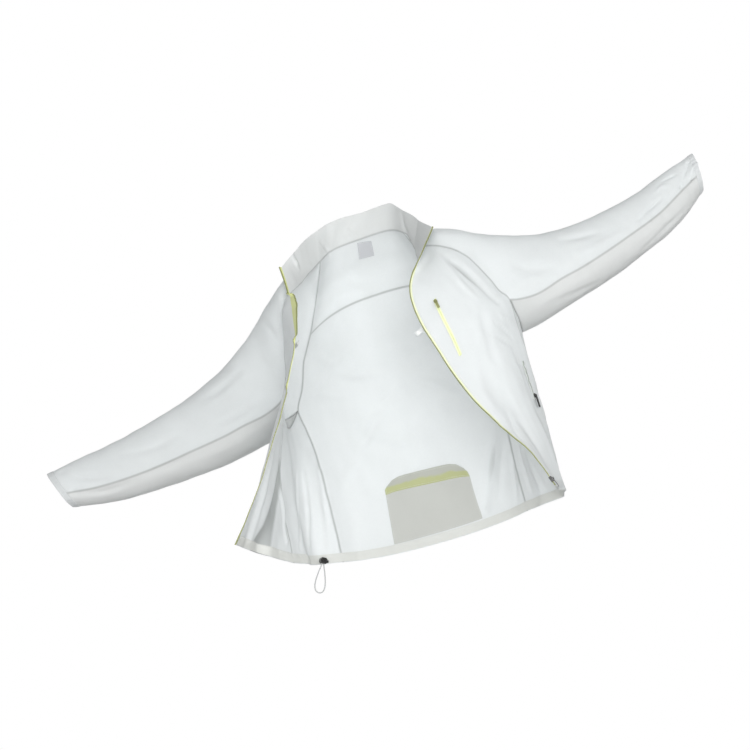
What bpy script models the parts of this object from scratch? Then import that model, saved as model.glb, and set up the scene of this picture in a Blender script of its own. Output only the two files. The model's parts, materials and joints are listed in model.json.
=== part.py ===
"""Sun protection jacket with an open front, filled out as if worn, with no wearer in it.

Metres. +Z is up, the jacket faces -Y and the wearer's left is +X. The origin is the middle of
the neck opening. Every cloth panel is a thin wall on a grid of points. A grid runs up or along
the panel in its rows and across it in its columns, and neighbouring panels share the points of
the seam between them.
"""

import math

import bpy
import numpy as np

# Driving sizes
CLOTH = 0.0010  # wall of a cloth panel
GAP = 0.0003  # clear gap between two pieces that are sewn together
NECK_GAP = 0.0016  # added between a front and its zip where they turn at the neck
JUNCTION = 0.0027  # how far each piece keeps from a point where three or more meet
SHARP = 0.62  # cosine of half the angle between two normals, below which edges are cut square
TRIM = 0.0010  # wall of the pieces that lie on a panel
LIFT = 0.0006  # clear gap between a panel and what lies on it
ZIP_WIDTH = 0.0060
ZIP_WALL = 0.0018
BAND_HEIGHT = 0.020  # hem tunnel
CUFF_LENGTH = 0.014
CUFF_WALL = 0.0016
CORD = 0.0025
CORD_DROP = 0.0615  # lowest point of the loop
HANG = (-0.353, 0.0, -0.936)  # direction in which the loop and the cord lock hang
SLIDER_WIDTH = 0.007
SLIDER_LENGTH = 0.009
SLIDER_HEIGHT = 0.0024
BRIDGE_WIDTH = 0.0024
PIN_HEIGHT = 0.0009  # height of a pull's hinge above its slider
PIN_HALF = 0.00045  # half of the thickness of a pull
EYE_LENGTH = 0.0034  # from that hinge to the far end of the eye of the pull
LOCK_SIZE = (0.0145, 0.0125, 0.0085)
LOCK_GAP = 0.0027  # from the hem band to the flat face of the lock, since the band is curved
LOCK_BORE = 0.0066
PLUNGER = 0.0060
PLUNGER_LENGTH = 0.0100
PLUNGER_OUT = 0.0040
LOW_ROWS = 8  # rows of the body from hem to armpit
HIGH_ROWS = 8  # rows of the body from armpit to neck
YOKE_ROW = 4  # rows of the back above the armpit that lie below the yoke seam

# Right half of the loop of cord, from the lock down
LOOP_COLUMNS = ("half_width", "drop")
CORD_LOOP = [
    (0.0024, 0.0003),
    (0.0040, 0.0080),
    (0.0066, 0.0165),
    (0.0088, 0.0258),
    (0.0104, 0.0330),
    (0.0115, 0.0420),
    (0.0115, 0.0485),
    (0.0099, 0.0546),
    (0.0068, 0.0592),
]

# Raglan part of the sleeves, neck to armpit: front seam, top of the shoulder, back seam
SHOULDER_RIGHT = [
    ((-0.150, -0.042, -0.0609), (-0.127, -0.003, -0.0337), (-0.105, 0.030, -0.012)),
    ((-0.183, -0.068, -0.090), (-0.166, 0.000, -0.032), (-0.133, 0.085, -0.078)),
    ((-0.200, -0.074, -0.135), (-0.210, 0.003, -0.066), (-0.163, 0.100, -0.145)),
    ((-0.217, -0.073, -0.205), (-0.246, 0.003, -0.098), (-0.193, 0.102, -0.206)),
    ((-0.241, -0.055, -0.286), (-0.282, 0.003, -0.134), (-0.226, 0.092, -0.299)),
]
SHOULDER_LEFT = [
    ((0.092, -0.028, -0.0440), (0.087, 0.004, -0.0134), (0.080, 0.030, 0.006)),
    ((0.140, -0.058, -0.060), (0.140, 0.000, -0.012), (0.118, 0.080, -0.060)),
    ((0.190, -0.064, -0.097), (0.205, 0.005, -0.039), (0.160, 0.100, -0.122)),
    ((0.224, -0.070, -0.155), (0.245, 0.005, -0.052), (0.203, 0.102, -0.172)),
    ((0.252, -0.070, -0.205), (0.281, 0.005, -0.061), (0.240, 0.092, -0.218)),
]
ARMPIT_RIGHT = (-0.252, 0.012, -0.338)
ARMPIT_LEFT = (0.264, 0.008, -0.263)

# Sections of each arm below the armpit: top of the section, bottom, depth (y), half depth,
# and the share of its height at which both sleeve seams lie, from the top
ARM_COLUMNS = ("top_x", "top_z", "bottom_x", "bottom_z", "y", "half_depth", "seam_share")
ARM_RIGHT = [
    (-0.346, -0.182, -0.327, -0.369, 0.008, 0.069, 0.75),
    (-0.460, -0.239, -0.444, -0.392, 0.006, 0.057, 0.70),
    (-0.574, -0.275, -0.556, -0.400, 0.005, 0.048, 0.71),
    (-0.669, -0.294, -0.650, -0.401, 0.005, 0.042, 0.70),
    (-0.741, -0.310, -0.703, -0.393, 0.005, 0.037, 0.66),
]
ARM_LEFT = [
    (0.353, -0.074, 0.374, -0.233, 0.012, 0.064, 0.70),
    (0.432, -0.070, 0.458, -0.205, 0.020, 0.055, 0.66),
    (0.510, -0.053, 0.545, -0.168, 0.032, 0.047, 0.63),
    (0.580, -0.030, 0.622, -0.130, 0.048, 0.041, 0.62),
    (0.645, 0.001, 0.675, -0.093, 0.064, 0.036, 0.60),
    (0.705, 0.025, 0.709, -0.062, 0.078, 0.032, 0.60),
]
SHOULDER_STEPS = (2, 2, 2, 2)
ARM_STEPS_RIGHT = (2, 3, 3, 2, 2)
ARM_STEPS_LEFT = (2, 2, 2, 2, 2, 2)
OVER_STEPS = 10  # columns of an upper sleeve
UNDER_STEPS = 6  # columns of an under sleeve and of a side panel

# Free edge of each front at its zip, hem to neck
EDGE_RIGHT = [
    (-0.385, -0.235, -0.564),
    (-0.319, -0.250, -0.474),
    (-0.269, -0.255, -0.388),
    (-0.230, -0.250, -0.318),
    (-0.202, -0.240, -0.260),
    (-0.183, -0.220, -0.206),
    (-0.179, -0.170, -0.141),
    (-0.176, -0.102, -0.090),
]
EDGE_LEFT = [
    (0.232, -0.246, -0.601),
    (0.205, -0.228, -0.530),
    (0.161, -0.202, -0.458),
    (0.114, -0.180, -0.366),
    (0.083, -0.164, -0.272),
    (0.067, -0.154, -0.221),
    (0.063, -0.130, -0.147),
    (0.090, -0.098, -0.0884),
]
ARMPIT_SHARE = 0.62  # share of that edge that lies below the armpit row

# Side seams, hem to just below the armpit
FRONT_SEAM_RIGHT = [
    (-0.303, -0.010, -0.613),
    (-0.296, -0.018, -0.500),
    (-0.276, -0.030, -0.400),
]
BACK_SEAM_RIGHT = [
    (-0.209, 0.100, -0.631),
    (-0.209, 0.100, -0.500),
    (-0.212, 0.100, -0.400),
]
FRONT_SEAM_LEFT = [
    (0.264, -0.035, -0.610),
    (0.264, -0.040, -0.500),
    (0.262, -0.045, -0.390),
    (0.257, -0.058, -0.290),
]
BACK_SEAM_LEFT = [
    (0.190, 0.100, -0.620),
    (0.191, 0.100, -0.500),
    (0.198, 0.100, -0.400),
    (0.214, 0.098, -0.300),
]

# Shape of the back between its two edges, for each named row: how far the middle lies
# behind the straight line between the edges, how far above it, and how full the curve is
BACK_COLUMNS = ("depth", "rise", "fullness")
BACK_ROWS = {
    "hem": (0.042, -0.014, 2.4),
    "waist": (0.044, 0.000, 2.4),
    "armpit": (0.046, 0.012, 2.4),
    "yoke seam": (0.040, 0.044, 2.7),
    "neck": (0.044, 0.026, 5.0),
}
BACK_SPANS = (4, 4, YOKE_ROW, HIGH_ROWS - YOKE_ROW)  # rows between those

# How far each front swells outward at its middle, and each side panel, hem to neck
SWELL_COLUMNS = ("x", "y", "z")
FRONT_SWELL_RIGHT = [
    (-0.004, 0.010, 0),
    (-0.004, 0.010, 0),
    (-0.004, 0.004, 0),
    (-0.012, -0.004, 0),
    (-0.006, 0, 0),
    (0, 0, 0),
]
FRONT_SWELL_LEFT = [
    (0.002, -0.004, 0),
    (0.008, -0.014, 0),
    (0.010, -0.022, 0),
    (0.006, -0.018, 0),
    (0.015, 0.002, 0),
    (0, 0, 0),
]
SWELL_SPANS = (4, 4, 4, 3, 1)
SIDE_SWELL_RIGHT = (-0.016, 0.016, 0)
SIDE_SWELL_LEFT = (0.016, 0.012, 0)

# Largest folds. Across and up are shares of the panel, depth is outward, all lengths in metres
FOLD_COLUMNS = ("across", "half_width", "depth", "from_row", "to_row", "lean")
FOLDS = {
    "front_right": [(0.74, 0.13, 0.012, 0, 9, 0.02), (0.42, 0.10, -0.006, 0, 8, 0.0)],
    "front_left": [(0.30, 0.10, 0.006, 0, 8, 0.02), (0.62, 0.10, -0.006, 0, 10, 0.02)],
    "side_right": [(0.30, 0.16, -0.009, 0, 8, 0.0), (0.62, 0.14, 0.009, 0, 7, 0.0)],
    "side_left": [(0.34, 0.16, 0.009, 0, 8, 0.0), (0.68, 0.14, -0.008, 0, 7, 0.0)],
    "back": [(0.10, 0.05, 0.006, 0, 8, 0.0), (0.89, 0.05, 0.007, 0, 8, 0.0)],
}

# Top edge of the collar, above each named place along the neck seam
COLLAR_TOP = {
    "right zip": (-0.182, -0.073, -0.026),
    "right front seam": (-0.146, -0.035, 0.009),
    "right back seam": (-0.098, 0.030, 0.052),
    "right corner": (-0.050, 0.056, 0.072),
    "middle": (0.010, 0.080, 0.080),
    "left corner": (0.070, 0.062, 0.080),
    "left back seam": (0.090, 0.032, 0.052),
    "left front seam": (0.114, -0.016, 0.0128),
    "left zip": (0.135, -0.080, -0.0224),
}
CORNER_COLUMN = 2  # column of the yoke at which each corner of the neck lies, from its edge
COLLAR_ROWS = 3

# Lines of places across a panel, in rows and columns of its grid, from the foot of a piece up.
# The pocket and the band at its mouth are inside the back, the label inside the yoke
LINE_COLUMNS = ("start_row", "end_row", "bow", "start_column", "end_column")
POCKET_LINES = [
    (0.44, 0.44, 0, 3.35, 9.20),
    (1.15, 1.02, 0.02, 3.42, 9.13),
    (1.90, 1.62, 0.05, 3.50, 9.08),
    (2.65, 2.23, 0.08, 3.57, 9.06),
]
MOUTH_LINES = [
    (2.66, 2.24, 0.08, 3.57, 9.06),
    (2.88, 2.46, 0.18, 3.58, 8.98),
    (3.02, 2.66, 0.33, 3.75, 8.78),
]
LABEL_LINES = [
    (2.80, 2.70, 0, 5.25, 7.00),
    (3.32, 3.20, 0, 5.40, 7.20),
    (3.85, 3.70, 0, 5.55, 7.40),
]

# Zips on the outer face of the left front: places of both ends and of the slider as row and column
CHEST_ZIP = {"start": (11.30, 6.85), "end": (7.30, 7.75), "slider": (11.10, 6.895)}
CHEST_ZIP_WIDTH = 0.008
CHEST_PULL = (0.005, 0.017)  # width and length
SIDE_ZIP = {"start": (5.60, 1.30), "end": (3.95, 1.55), "slider": (4.12, 1.52)}
SIDE_ZIP_WIDTH = 0.007
SIDE_PULL = (0.009, 0.026)

WHITE = (0.86, 0.87, 0.85)
SHADE = (0.70, 0.70, 0.66)
MESH = (0.56, 0.56, 0.50)
LIME = (0.72, 0.78, 0.22)
BLACK = (0.02, 0.02, 0.02)


def smooth(rows, steps, even_knots=False):
    """A smooth curve or surface through the given rows, with steps[i] of them from row i to i + 1."""
    rows = np.array(rows, float)
    moves = np.diff(rows, axis=0)
    if even_knots:
        lengths = np.ones(len(moves))
    else:
        lengths = np.linalg.norm(moves, axis=-1).reshape(len(moves), -1).mean(axis=1)
    speeds = moves / lengths.reshape((-1,) + (1,) * (rows.ndim - 1))
    slopes = [speeds[0]]
    for before, after, first, second in zip(speeds, speeds[1:], lengths, lengths[1:]):
        slopes.append((before * second + after * first) / (first + second))
    slopes.append(speeds[-1])
    made = [rows[0]]
    for i, count in enumerate(steps):
        for k in range(1, count + 1):
            t = k / count
            start = (1 + 2 * t) * (1 - t) ** 2 * rows[i] + t * t * (3 - 2 * t) * rows[i + 1]
            ends = t * (1 - t) ** 2 * slopes[i] - t * t * (1 - t) * slopes[i + 1]
            made.append(start + ends * lengths[i])
    return np.array(made)


def along(points, shares):
    """Points at the given shares of the length of a smooth curve through the points."""
    fine = smooth(points, [24] * (len(points) - 1))
    lengths = np.concatenate([[0], np.cumsum(np.linalg.norm(np.diff(fine, axis=0), axis=1))])
    stops = np.array(shares) * lengths[-1]
    return np.stack([np.interp(stops, lengths, fine[:, k]) for k in range(3)], axis=1)


def half_ring(start, over, end, count):
    """Half an ellipse from start to end that passes through over."""
    start, over, end = (np.array(p, float) for p in (start, over, end))
    middle = (start + end) / 2
    turns = np.linspace(0, math.pi, count + 1)[:, None]
    return middle + np.cos(turns) * (start - middle) + np.sin(turns) * (over - middle)


def scoop(start, low, end, count):
    """A curve from start to end with its middle at low, less steep at its ends than half an ellipse."""
    start, low, end = (np.array(p, float) for p in (start, low, end))
    shares = np.linspace(0, 1, count + 1)[:, None]
    return start + shares * (end - start) + (1 - abs(2 * shares - 1) ** 2.2) * (low - (start + end) / 2)


def sleeve_grids(shoulder, armpit, arm, arm_steps):
    """Grids of the upper sleeve, neck to cuff and back seam to front seam, and of the under sleeve."""
    upper = [half_ring(back, top, front, OVER_STEPS) for front, top, back in shoulder]
    front, top, back = shoulder[0]
    upper[0] = scoop(back, top, front, OVER_STEPS)
    front, top, back = shoulder[-1]
    under = [scoop(front, armpit, back, UNDER_STEPS)]
    for row in arm:
        section = dict(zip(ARM_COLUMNS, row))
        top = np.array((section["top_x"], section["y"], section["top_z"]))
        bottom = np.array((section["bottom_x"], section["y"], section["bottom_z"]))
        seam = top + section["seam_share"] * (bottom - top)
        depth = np.array((0, section["half_depth"], 0))
        upper.append(half_ring(seam + depth, top, seam - depth, OVER_STEPS))
        under.append(half_ring(seam - depth, bottom, seam + depth, UNDER_STEPS))
    upper = smooth(upper, SHOULDER_STEPS + arm_steps)
    under = smooth(under, arm_steps)
    below = upper[sum(SHOULDER_STEPS):]
    for side, target in ((0, below[:, -1]), (UNDER_STEPS, below[:, 0])):
        missing = target - under[:, side]
        for column in range(UNDER_STEPS + 1):
            under[:, column] += missing * (1 - abs(column - side) / UNDER_STEPS) ** 3
        under[:, side] = target
    return upper, under


def back_grid(right_edge, left_edge):
    shape = smooth(list(BACK_ROWS.values()), BACK_SPANS, even_knots=True)
    rows = []
    for start, end, (depth, rise, fullness) in zip(right_edge, left_edge, shape):
        shares = np.linspace(0, 1, 13)[:, None]
        swell = 1 - abs(2 * shares - 1) ** fullness
        rows.append(start + shares * (end - start) + swell * np.array((0, depth, rise)))
    rows = np.array(rows)
    rows[:, 0] = right_edge
    rows[:, -1] = left_edge
    return rows


def front_grid(seam_edge, zip_edge, swell, columns=9):
    """Grid of a front from its seam edge to its zip edge."""
    shape = smooth(swell, SWELL_SPANS, even_knots=True)
    shares = np.linspace(0, 1, columns + 1)[:, None]
    rows = []
    for start, end, bulge in zip(seam_edge, zip_edge, shape):
        rows.append(start + shares * (end - start) + np.sin(math.pi * shares) * bulge)
    rows = np.array(rows)
    rows[:, 0] = seam_edge
    rows[:, -1] = zip_edge
    return rows


def side_grid(front_seam, back_seam, arc, swell):
    """Grid of a side panel, hem to armpit, whose top row is the scooped arc under the arm."""
    shares = np.linspace(0, 1, UNDER_STEPS + 1)[:, None]
    swell = np.sin(math.pi * shares) * np.array(swell)
    dip = arc - (front_seam[-1] + shares * (back_seam[-1] - front_seam[-1]))
    rows = []
    for i, (a, b) in enumerate(zip(front_seam, back_seam)):
        part = (i / LOW_ROWS) ** 2.5
        rows.append(a + shares * (b - a) + (1 - part) * swell + part * dip)
    rows = np.array(rows)
    rows[:, 0] = front_seam
    rows[:, -1] = back_seam
    rows[-1] = arc
    return rows


def grid_normals(grid, flip):
    """Outward direction at each point of a grid."""
    up = np.gradient(grid, axis=0)
    across = np.gradient(grid, axis=1)
    normals = np.cross(across, up) * (-1 if flip else 1)
    return normals / np.linalg.norm(normals, axis=-1, keepdims=True)


def folded(grid, flip, folds):
    """The grid with each fold pushed out along the panel's normals. Its edges stay where they are."""
    normals = grid_normals(grid, flip)
    last_row, last_column = len(grid) - 1, grid.shape[1] - 1
    push = np.zeros(grid.shape[:2])
    for row in folds:
        fold = dict(zip(FOLD_COLUMNS, row))
        for i in range(last_row + 1):
            fade = min(max((fold["to_row"] - i) / (fold["to_row"] - fold["from_row"]), 0), 1)
            for j in range(last_column + 1):
                place = (j / last_column - fold["across"] - fold["lean"] * i) / fold["half_width"]
                push[i, j] += fold["depth"] * math.sin(fade * math.pi / 2) * math.exp(-place * place)
    push[:, [0, -1]] = 0
    if last_row == LOW_ROWS:
        push[-1] = 0
    return grid + normals * push[..., None]


def key(point):
    return tuple(np.round(point * 1e6).astype(int))


def border(grid):
    """The places on the rim of a grid, as pairs of row and column, in order round it."""
    rows, columns = grid.shape[0] - 1, grid.shape[1] - 1
    places = [(0, j) for j in range(columns)] + [(i, columns) for i in range(rows)]
    return places + [(rows, j) for j in range(columns, 0, -1)] + [(i, 0) for i in range(rows, 0, -1)]


def share_normals(grids, flips):
    """Normals of every panel, shared by two panels along their seam, and each point's mitre and trim."""
    normals = {name: grid_normals(grid, flips[name]) for name, grid in grids.items()}
    met = {}
    for name, grid in grids.items():
        for place in border(grid):
            met.setdefault(key(grid[place]), []).append(normals[name][place].copy())
    mitres, trims = {}, {}
    for name, grid in grids.items():
        mitres[name] = np.ones(grid.shape[:2])
        trims[name] = np.full(grid.shape[:2], GAP / 2)
        for place in border(grid):
            meeting = met[key(grid[place])]
            if len(meeting) > 2:
                trims[name][place] = JUNCTION
                continue
            own = normals[name][place].copy()
            shared = np.sum(meeting, axis=0)
            shared /= np.linalg.norm(shared)
            half_fold = max(shared @ own, 0.2)
            if half_fold < SHARP:
                trims[name][place] = (CLOTH / 2 * math.sqrt(1 - half_fold**2) + GAP / 2) / half_fold
            else:
                normals[name][place] = shared
                mitres[name][place] = 1 / half_fold
    return normals, mitres, trims


def trim_moves(grid, normals, trims):
    """Moves of the rim points into the panel, square to the seam, by their trims or less on a short cell."""
    moves = np.zeros_like(grid)
    rows, columns = grid.shape[0] - 1, grid.shape[1] - 1
    for i, j in border(grid):
        from_row = (int(i == 0) - int(i == rows), 0)
        from_column = (0, int(j == 0) - int(j == columns))
        for inward_row, inward_column in (from_row, from_column):
            if not inward_row and not inward_column:
                continue
            inward = grid[i + inward_row, j + inward_column] - grid[i, j]
            if inward_row:
                seam = grid[i, min(j + 1, columns)] - grid[i, max(j - 1, 0)]
            else:
                seam = grid[min(i + 1, rows), j] - grid[max(i - 1, 0), j]
            square = np.cross(seam, normals[i, j])
            square /= np.linalg.norm(square)
            moves[i, j] += square * np.sign(square @ inward) * min(trims[i, j], 0.4 * np.linalg.norm(inward))
    return moves


def solid(name, outer, inner, colour, closed_round=False):
    """Object with a wall between two grids of points. Outer faces out when the grid's normals do."""
    rows, columns = outer.shape[:2]
    count = rows * columns
    faces = []

    def at(i, j, layer):
        return layer * count + i * columns + j % columns

    across = columns if closed_round else columns - 1
    for i in range(rows - 1):
        for j in range(across):
            first, far = at(i, j, 0), at(i + 1, j + 1, 0)
            for triangle in ([first, at(i, j + 1, 0), far], [first, far, at(i + 1, j, 0)]):
                faces.append(triangle)
                faces.append([corner + count for corner in reversed(triangle)])
    for j in range(across):
        end = rows - 1
        faces.append([at(0, j + 1, 0), at(0, j, 0), at(0, j, 1), at(0, j + 1, 1)])
        faces.append([at(end, j, 0), at(end, j + 1, 0), at(end, j + 1, 1), at(end, j, 1)])
    if not closed_round:
        for i in range(rows - 1):
            faces.append([at(i, 0, 0), at(i + 1, 0, 0), at(i + 1, 0, 1), at(i, 0, 1)])
            last = columns - 1
            faces.append([at(i + 1, last, 0), at(i, last, 0), at(i, last, 1), at(i + 1, last, 1)])
    points = np.concatenate([outer.reshape(-1, 3), inner.reshape(-1, 3)])
    return mesh_object(name, points, faces, colour)


def mesh_object(name, points, faces, colour, pivot=(0, 0, 0)):
    """Object of these world points whose origin is at the pivot. Inside-out faces are turned round."""
    pivot = np.array(pivot, float)
    points = np.array(points, float)
    volume = 0
    for face in faces:
        for k in range(1, len(face) - 1):
            volume += points[face[0]] @ np.cross(points[face[k]], points[face[k + 1]])
    if volume < 0:
        faces = [list(reversed(face)) for face in faces]
    mesh = bpy.data.meshes.new(name)
    mesh.from_pydata([tuple(p) for p in points - pivot], [], [[int(c) for c in face] for face in faces])
    mesh.update()
    made = bpy.data.objects.new(name, mesh)
    made.location = tuple(pivot)
    bpy.context.scene.collection.objects.link(made)
    made.data.materials.append(material(colour))
    return made


def material(colour):
    name = "colour_" + "_".join(f"{round(c * 100):02d}" for c in colour)
    if name in bpy.data.materials:
        return bpy.data.materials[name]
    made = bpy.data.materials.new(name)
    made.use_nodes = True
    shader = made.node_tree.nodes["Principled BSDF"]
    shader.inputs["Base Color"].default_value = (*colour, 1)
    shader.inputs["Roughness"].default_value = 0.7
    return made


def panel(name, grid, normals, mitre, trim, colour, wall=CLOTH):
    moves = trim_moves(grid, normals, trim)
    half = normals * mitre[..., None] * wall / 2
    return solid(name, grid + half + moves, grid - half + moves, colour)


def on_grid(grid, row, column):
    """Point of a grid at a row and column that needn't be whole numbers."""
    i = min(max(int(row), 0), grid.shape[0] - 2)
    j = min(max(int(column), 0), grid.shape[1] - 2)
    a, b = row - i, column - j
    start, far = grid[i, j], grid[i + 1, j + 1]
    if a < b:
        return start + b * (grid[i, j + 1] - start) + a * (far - grid[i, j + 1])
    return start + a * (grid[i + 1, j] - start) + b * (far - grid[i + 1, j])


def patch(grid, normals, places, side, lift=LIFT, wall=TRIM):
    """Outer and inner points of a piece on a panel. Places are lines of (row, column), side +1 is outside."""
    base = np.array([[on_grid(grid, *place) for place in line] for line in places])
    away = np.array([[on_grid(normals, *place) for place in line] for line in places])
    away = away / np.linalg.norm(away, axis=-1, keepdims=True) * side
    near = base + away * (CLOTH / 2 + lift)
    return near + away * wall, near


def frame_on(grid, normals, row, column, side, towards):
    """Origin on the panel's surface, and unit axes across, towards another place, and off the cloth."""
    origin = on_grid(grid, row, column)
    away = on_grid(normals, row, column)
    away = away / np.linalg.norm(away) * side
    ahead = on_grid(grid, *towards) - origin
    ahead = ahead - (ahead @ away) * away
    ahead = ahead / np.linalg.norm(ahead)
    return origin + away * (CLOTH / 2), np.cross(ahead, away), ahead, away


def placed(frame, points):
    origin, across, ahead, away = frame
    return [origin + p[0] * across + p[1] * ahead + p[2] * away for p in points]


def prism(name, frame, outline, low, high, colour, pivot=None):
    """A plate with the given outline across and along the cloth, from height low to high above it."""
    points = placed(frame, [(x, y, low) for x, y in outline] + [(x, y, high) for x, y in outline])
    count = len(outline)
    faces = [list(range(count))[::-1], list(range(count, 2 * count))]
    faces += [[i, (i + 1) % count, count + (i + 1) % count, count + i] for i in range(count)]
    if pivot is None:
        centre = np.mean(points, axis=0)
    else:
        centre = placed(frame, [pivot])[0]
    return mesh_object(name, points, faces, colour, centre)


def rounded(width, length, middle=0.0, corner=0.35):
    """Outline of a plate with cut corners."""
    w, h, c = width / 2, length / 2, corner * min(width, length)
    upper = [(w, h - c), (w - c, h), (c - w, h), (-w, h - c)]
    lower = [(-w, c - h), (c - w, -h), (w - c, -h), (w, c - h)]
    return [(x, y + middle) for x, y in upper + lower]


def build_panels():
    upper_right, under_right = sleeve_grids(SHOULDER_RIGHT, ARMPIT_RIGHT, ARM_RIGHT, ARM_STEPS_RIGHT)
    upper_left, under_left = sleeve_grids(SHOULDER_LEFT, ARMPIT_LEFT, ARM_LEFT, ARM_STEPS_LEFT)
    low = np.linspace(0, 1, LOW_ROWS + 1)
    zip_shares = list(low * ARMPIT_SHARE) + list(np.linspace(ARMPIT_SHARE, 1, HIGH_ROWS + 1)[1:])

    def edges(seam, junction, raglan):
        lower = along(seam + [tuple(junction)], low)
        lower[-1] = junction
        return np.concatenate([lower, raglan[:HIGH_ROWS][::-1]])

    back_right = edges(BACK_SEAM_RIGHT, upper_right[HIGH_ROWS, 0], upper_right[:, 0])
    back_left = edges(BACK_SEAM_LEFT, upper_left[HIGH_ROWS, 0], upper_left[:, 0])
    front_right = edges(FRONT_SEAM_RIGHT, upper_right[HIGH_ROWS, -1], upper_right[:, -1])
    front_left = edges(FRONT_SEAM_LEFT, upper_left[HIGH_ROWS, -1], upper_left[:, -1])
    whole_back = back_grid(back_right, back_left)
    whole_back = folded(whole_back, True, FOLDS["back"])
    seam_row = LOW_ROWS + YOKE_ROW
    right_seams = (front_right[: LOW_ROWS + 1], back_right[: LOW_ROWS + 1])
    left_seams = (front_left[: LOW_ROWS + 1], back_left[: LOW_ROWS + 1])
    grids = {
        "back": whole_back[: seam_row + 1],
        "yoke": whole_back[seam_row:],
        "front_right": front_grid(front_right, along(EDGE_RIGHT, zip_shares), FRONT_SWELL_RIGHT),
        "front_left": front_grid(front_left, along(EDGE_LEFT, zip_shares), FRONT_SWELL_LEFT),
        "side_right": side_grid(*right_seams, under_right[0], SIDE_SWELL_RIGHT),
        "side_left": side_grid(*left_seams, under_left[0], SIDE_SWELL_LEFT),
        "sleeve_upper_right": upper_right,
        "sleeve_under_right": under_right,
        "sleeve_upper_left": upper_left,
        "sleeve_under_left": under_left,
    }
    flips = {
        "back": True,
        "yoke": True,
        "front_right": False,
        "front_left": True,
        "side_right": True,
        "side_left": False,
        "sleeve_upper_right": True,
        "sleeve_under_right": True,
        "sleeve_upper_left": False,
        "sleeve_under_left": False,
    }
    for name in ("front_right", "front_left", "side_right", "side_left"):
        grids[name] = folded(grids[name], flips[name], FOLDS[name])
    parts = [
        grids["front_right"][-1][::-1],
        upper_right[0][::-1],
        whole_back[-1],
        upper_left[0],
        grids["front_left"][-1],
    ]
    loop = np.concatenate([parts[0]] + [part[1:] for part in parts[1:]])
    ends = [int(n) for n in np.cumsum([0] + [len(part) - 1 for part in parts])]
    corners = [ends[2] + CORNER_COLUMN, (ends[2] + ends[3]) // 2, ends[3] - CORNER_COLUMN]
    stations = ends[:3] + corners + ends[3:]
    rise = [np.array(top) - loop[station] for top, station in zip(COLLAR_TOP.values(), stations)]
    rise = smooth(rise, np.diff(stations), even_knots=True)
    grids["collar"] = np.array([loop + rise * k / COLLAR_ROWS for k in range(COLLAR_ROWS + 1)])
    flips["collar"] = True
    return grids, flips


def line_places(lines, count):
    """Places of a piece on a panel, a line of them for each row of its table."""
    places = []
    for row in lines:
        line = dict(zip(LINE_COLUMNS, row))
        made = []
        for share in np.linspace(0, 1, count):
            climb = line["start_row"] + share * (line["end_row"] - line["start_row"])
            bow = line["bow"] * (1 - (2 * share - 1) ** 6)
            column = line["start_column"] + share * (line["end_column"] - line["start_column"])
            made.append((climb + bow, column))
        places.append(made)
    return places


def strip_places(grid, start, end, width, steps):
    """Places of a strip of the given width along a panel from one place to another, and past each row."""
    places = []
    shares = set(np.linspace(0, 1, steps + 1))
    for row in range(math.ceil(min(start[0], end[0])), math.floor(max(start[0], end[0])) + 1):
        shares.add((row - start[0]) / (end[0] - start[0]))
    for share in sorted(shares):
        row = start[0] + share * (end[0] - start[0])
        column = start[1] + share * (end[1] - start[1])
        cell = on_grid(grid, row, column + 0.5) - on_grid(grid, row, column - 0.5)
        half = width / 2 / np.linalg.norm(cell)
        places.append([(row, column - half), (row, column), (row, column + half)])
    return places


def free_edge(front, collar_edge, collar_next, normals, collar_normals):
    """Points of a front's free edge and of the collar's above it, with unit outward and away directions."""
    points = np.concatenate([front[:, -1], collar_edge[1:]])
    beyond = np.concatenate([front[:, -1] - front[:, -2], (collar_edge - collar_next)[1:]])
    away = np.concatenate([normals[:, -1], collar_normals[1:]])
    for made in (beyond, away):
        made /= np.linalg.norm(made, axis=1, keepdims=True)
    corner = len(front) - 1
    for made in (beyond, away):
        for step in (1, 2):
            made[corner - 2 + step] = made[corner - 2] + step / 3 * (made[corner + 1] - made[corner - 2])
    ahead = np.gradient(points, axis=0)
    ahead /= np.linalg.norm(ahead, axis=1, keepdims=True)
    beyond -= np.sum(beyond * ahead, axis=1, keepdims=True) * ahead
    beyond /= np.linalg.norm(beyond, axis=1, keepdims=True)
    square = np.cross(beyond, ahead)
    square *= np.sign(np.sum(square * away, axis=1, keepdims=True))
    return points, beyond, square


def zip_half(name, points, beyond, away):
    """One half of the front zip. It keeps further from the front where its edge turns, at the neck."""
    neck = LOW_ROWS + HIGH_ROWS
    turning = np.clip(1 - abs(np.arange(len(points)) - neck + 0.5) / 2.5, 0, 1)
    near = points + beyond * (GAP + NECK_GAP * turning)[:, None]
    middle = np.stack([near, points + beyond * ZIP_WIDTH], axis=1)
    half = away[:, None] * ZIP_WALL / 2
    return solid(name, middle + half, middle - half, LIME)


def hem_strip(grids, normals, mitres):
    """Points and inward directions of a band along the hem, from zip to zip, in two rows."""
    places, inward = [], []
    for name in ("front_right", "side_right", "back", "side_left", "front_left"):
        grid = grids[name]
        away = -normals[name] * mitres[name][..., None]
        order = list(range(grid.shape[1]))
        if name in ("front_right", "side_left"):
            order = order[::-1]
        for k, column in enumerate(order):
            height = np.linalg.norm(grid[1, column] - grid[0, column])
            shares = (0.0012 / height, BAND_HEIGHT / height)
            stops = [[column, column]]
            if k + 1 < len(order):
                left = min(column, order[k + 1])
                stops.append([left + share for share in shares])
            if places and k == 0:
                stops = stops[1:]
            for stop in stops:
                places.append([on_grid(grid, share, spot) for share, spot in zip(shares, stop)])
                inward.append([on_grid(away, share, spot) for share, spot in zip(shares, stop)])
    return np.array(places).transpose(1, 0, 2), np.array(inward).transpose(1, 0, 2)


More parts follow.
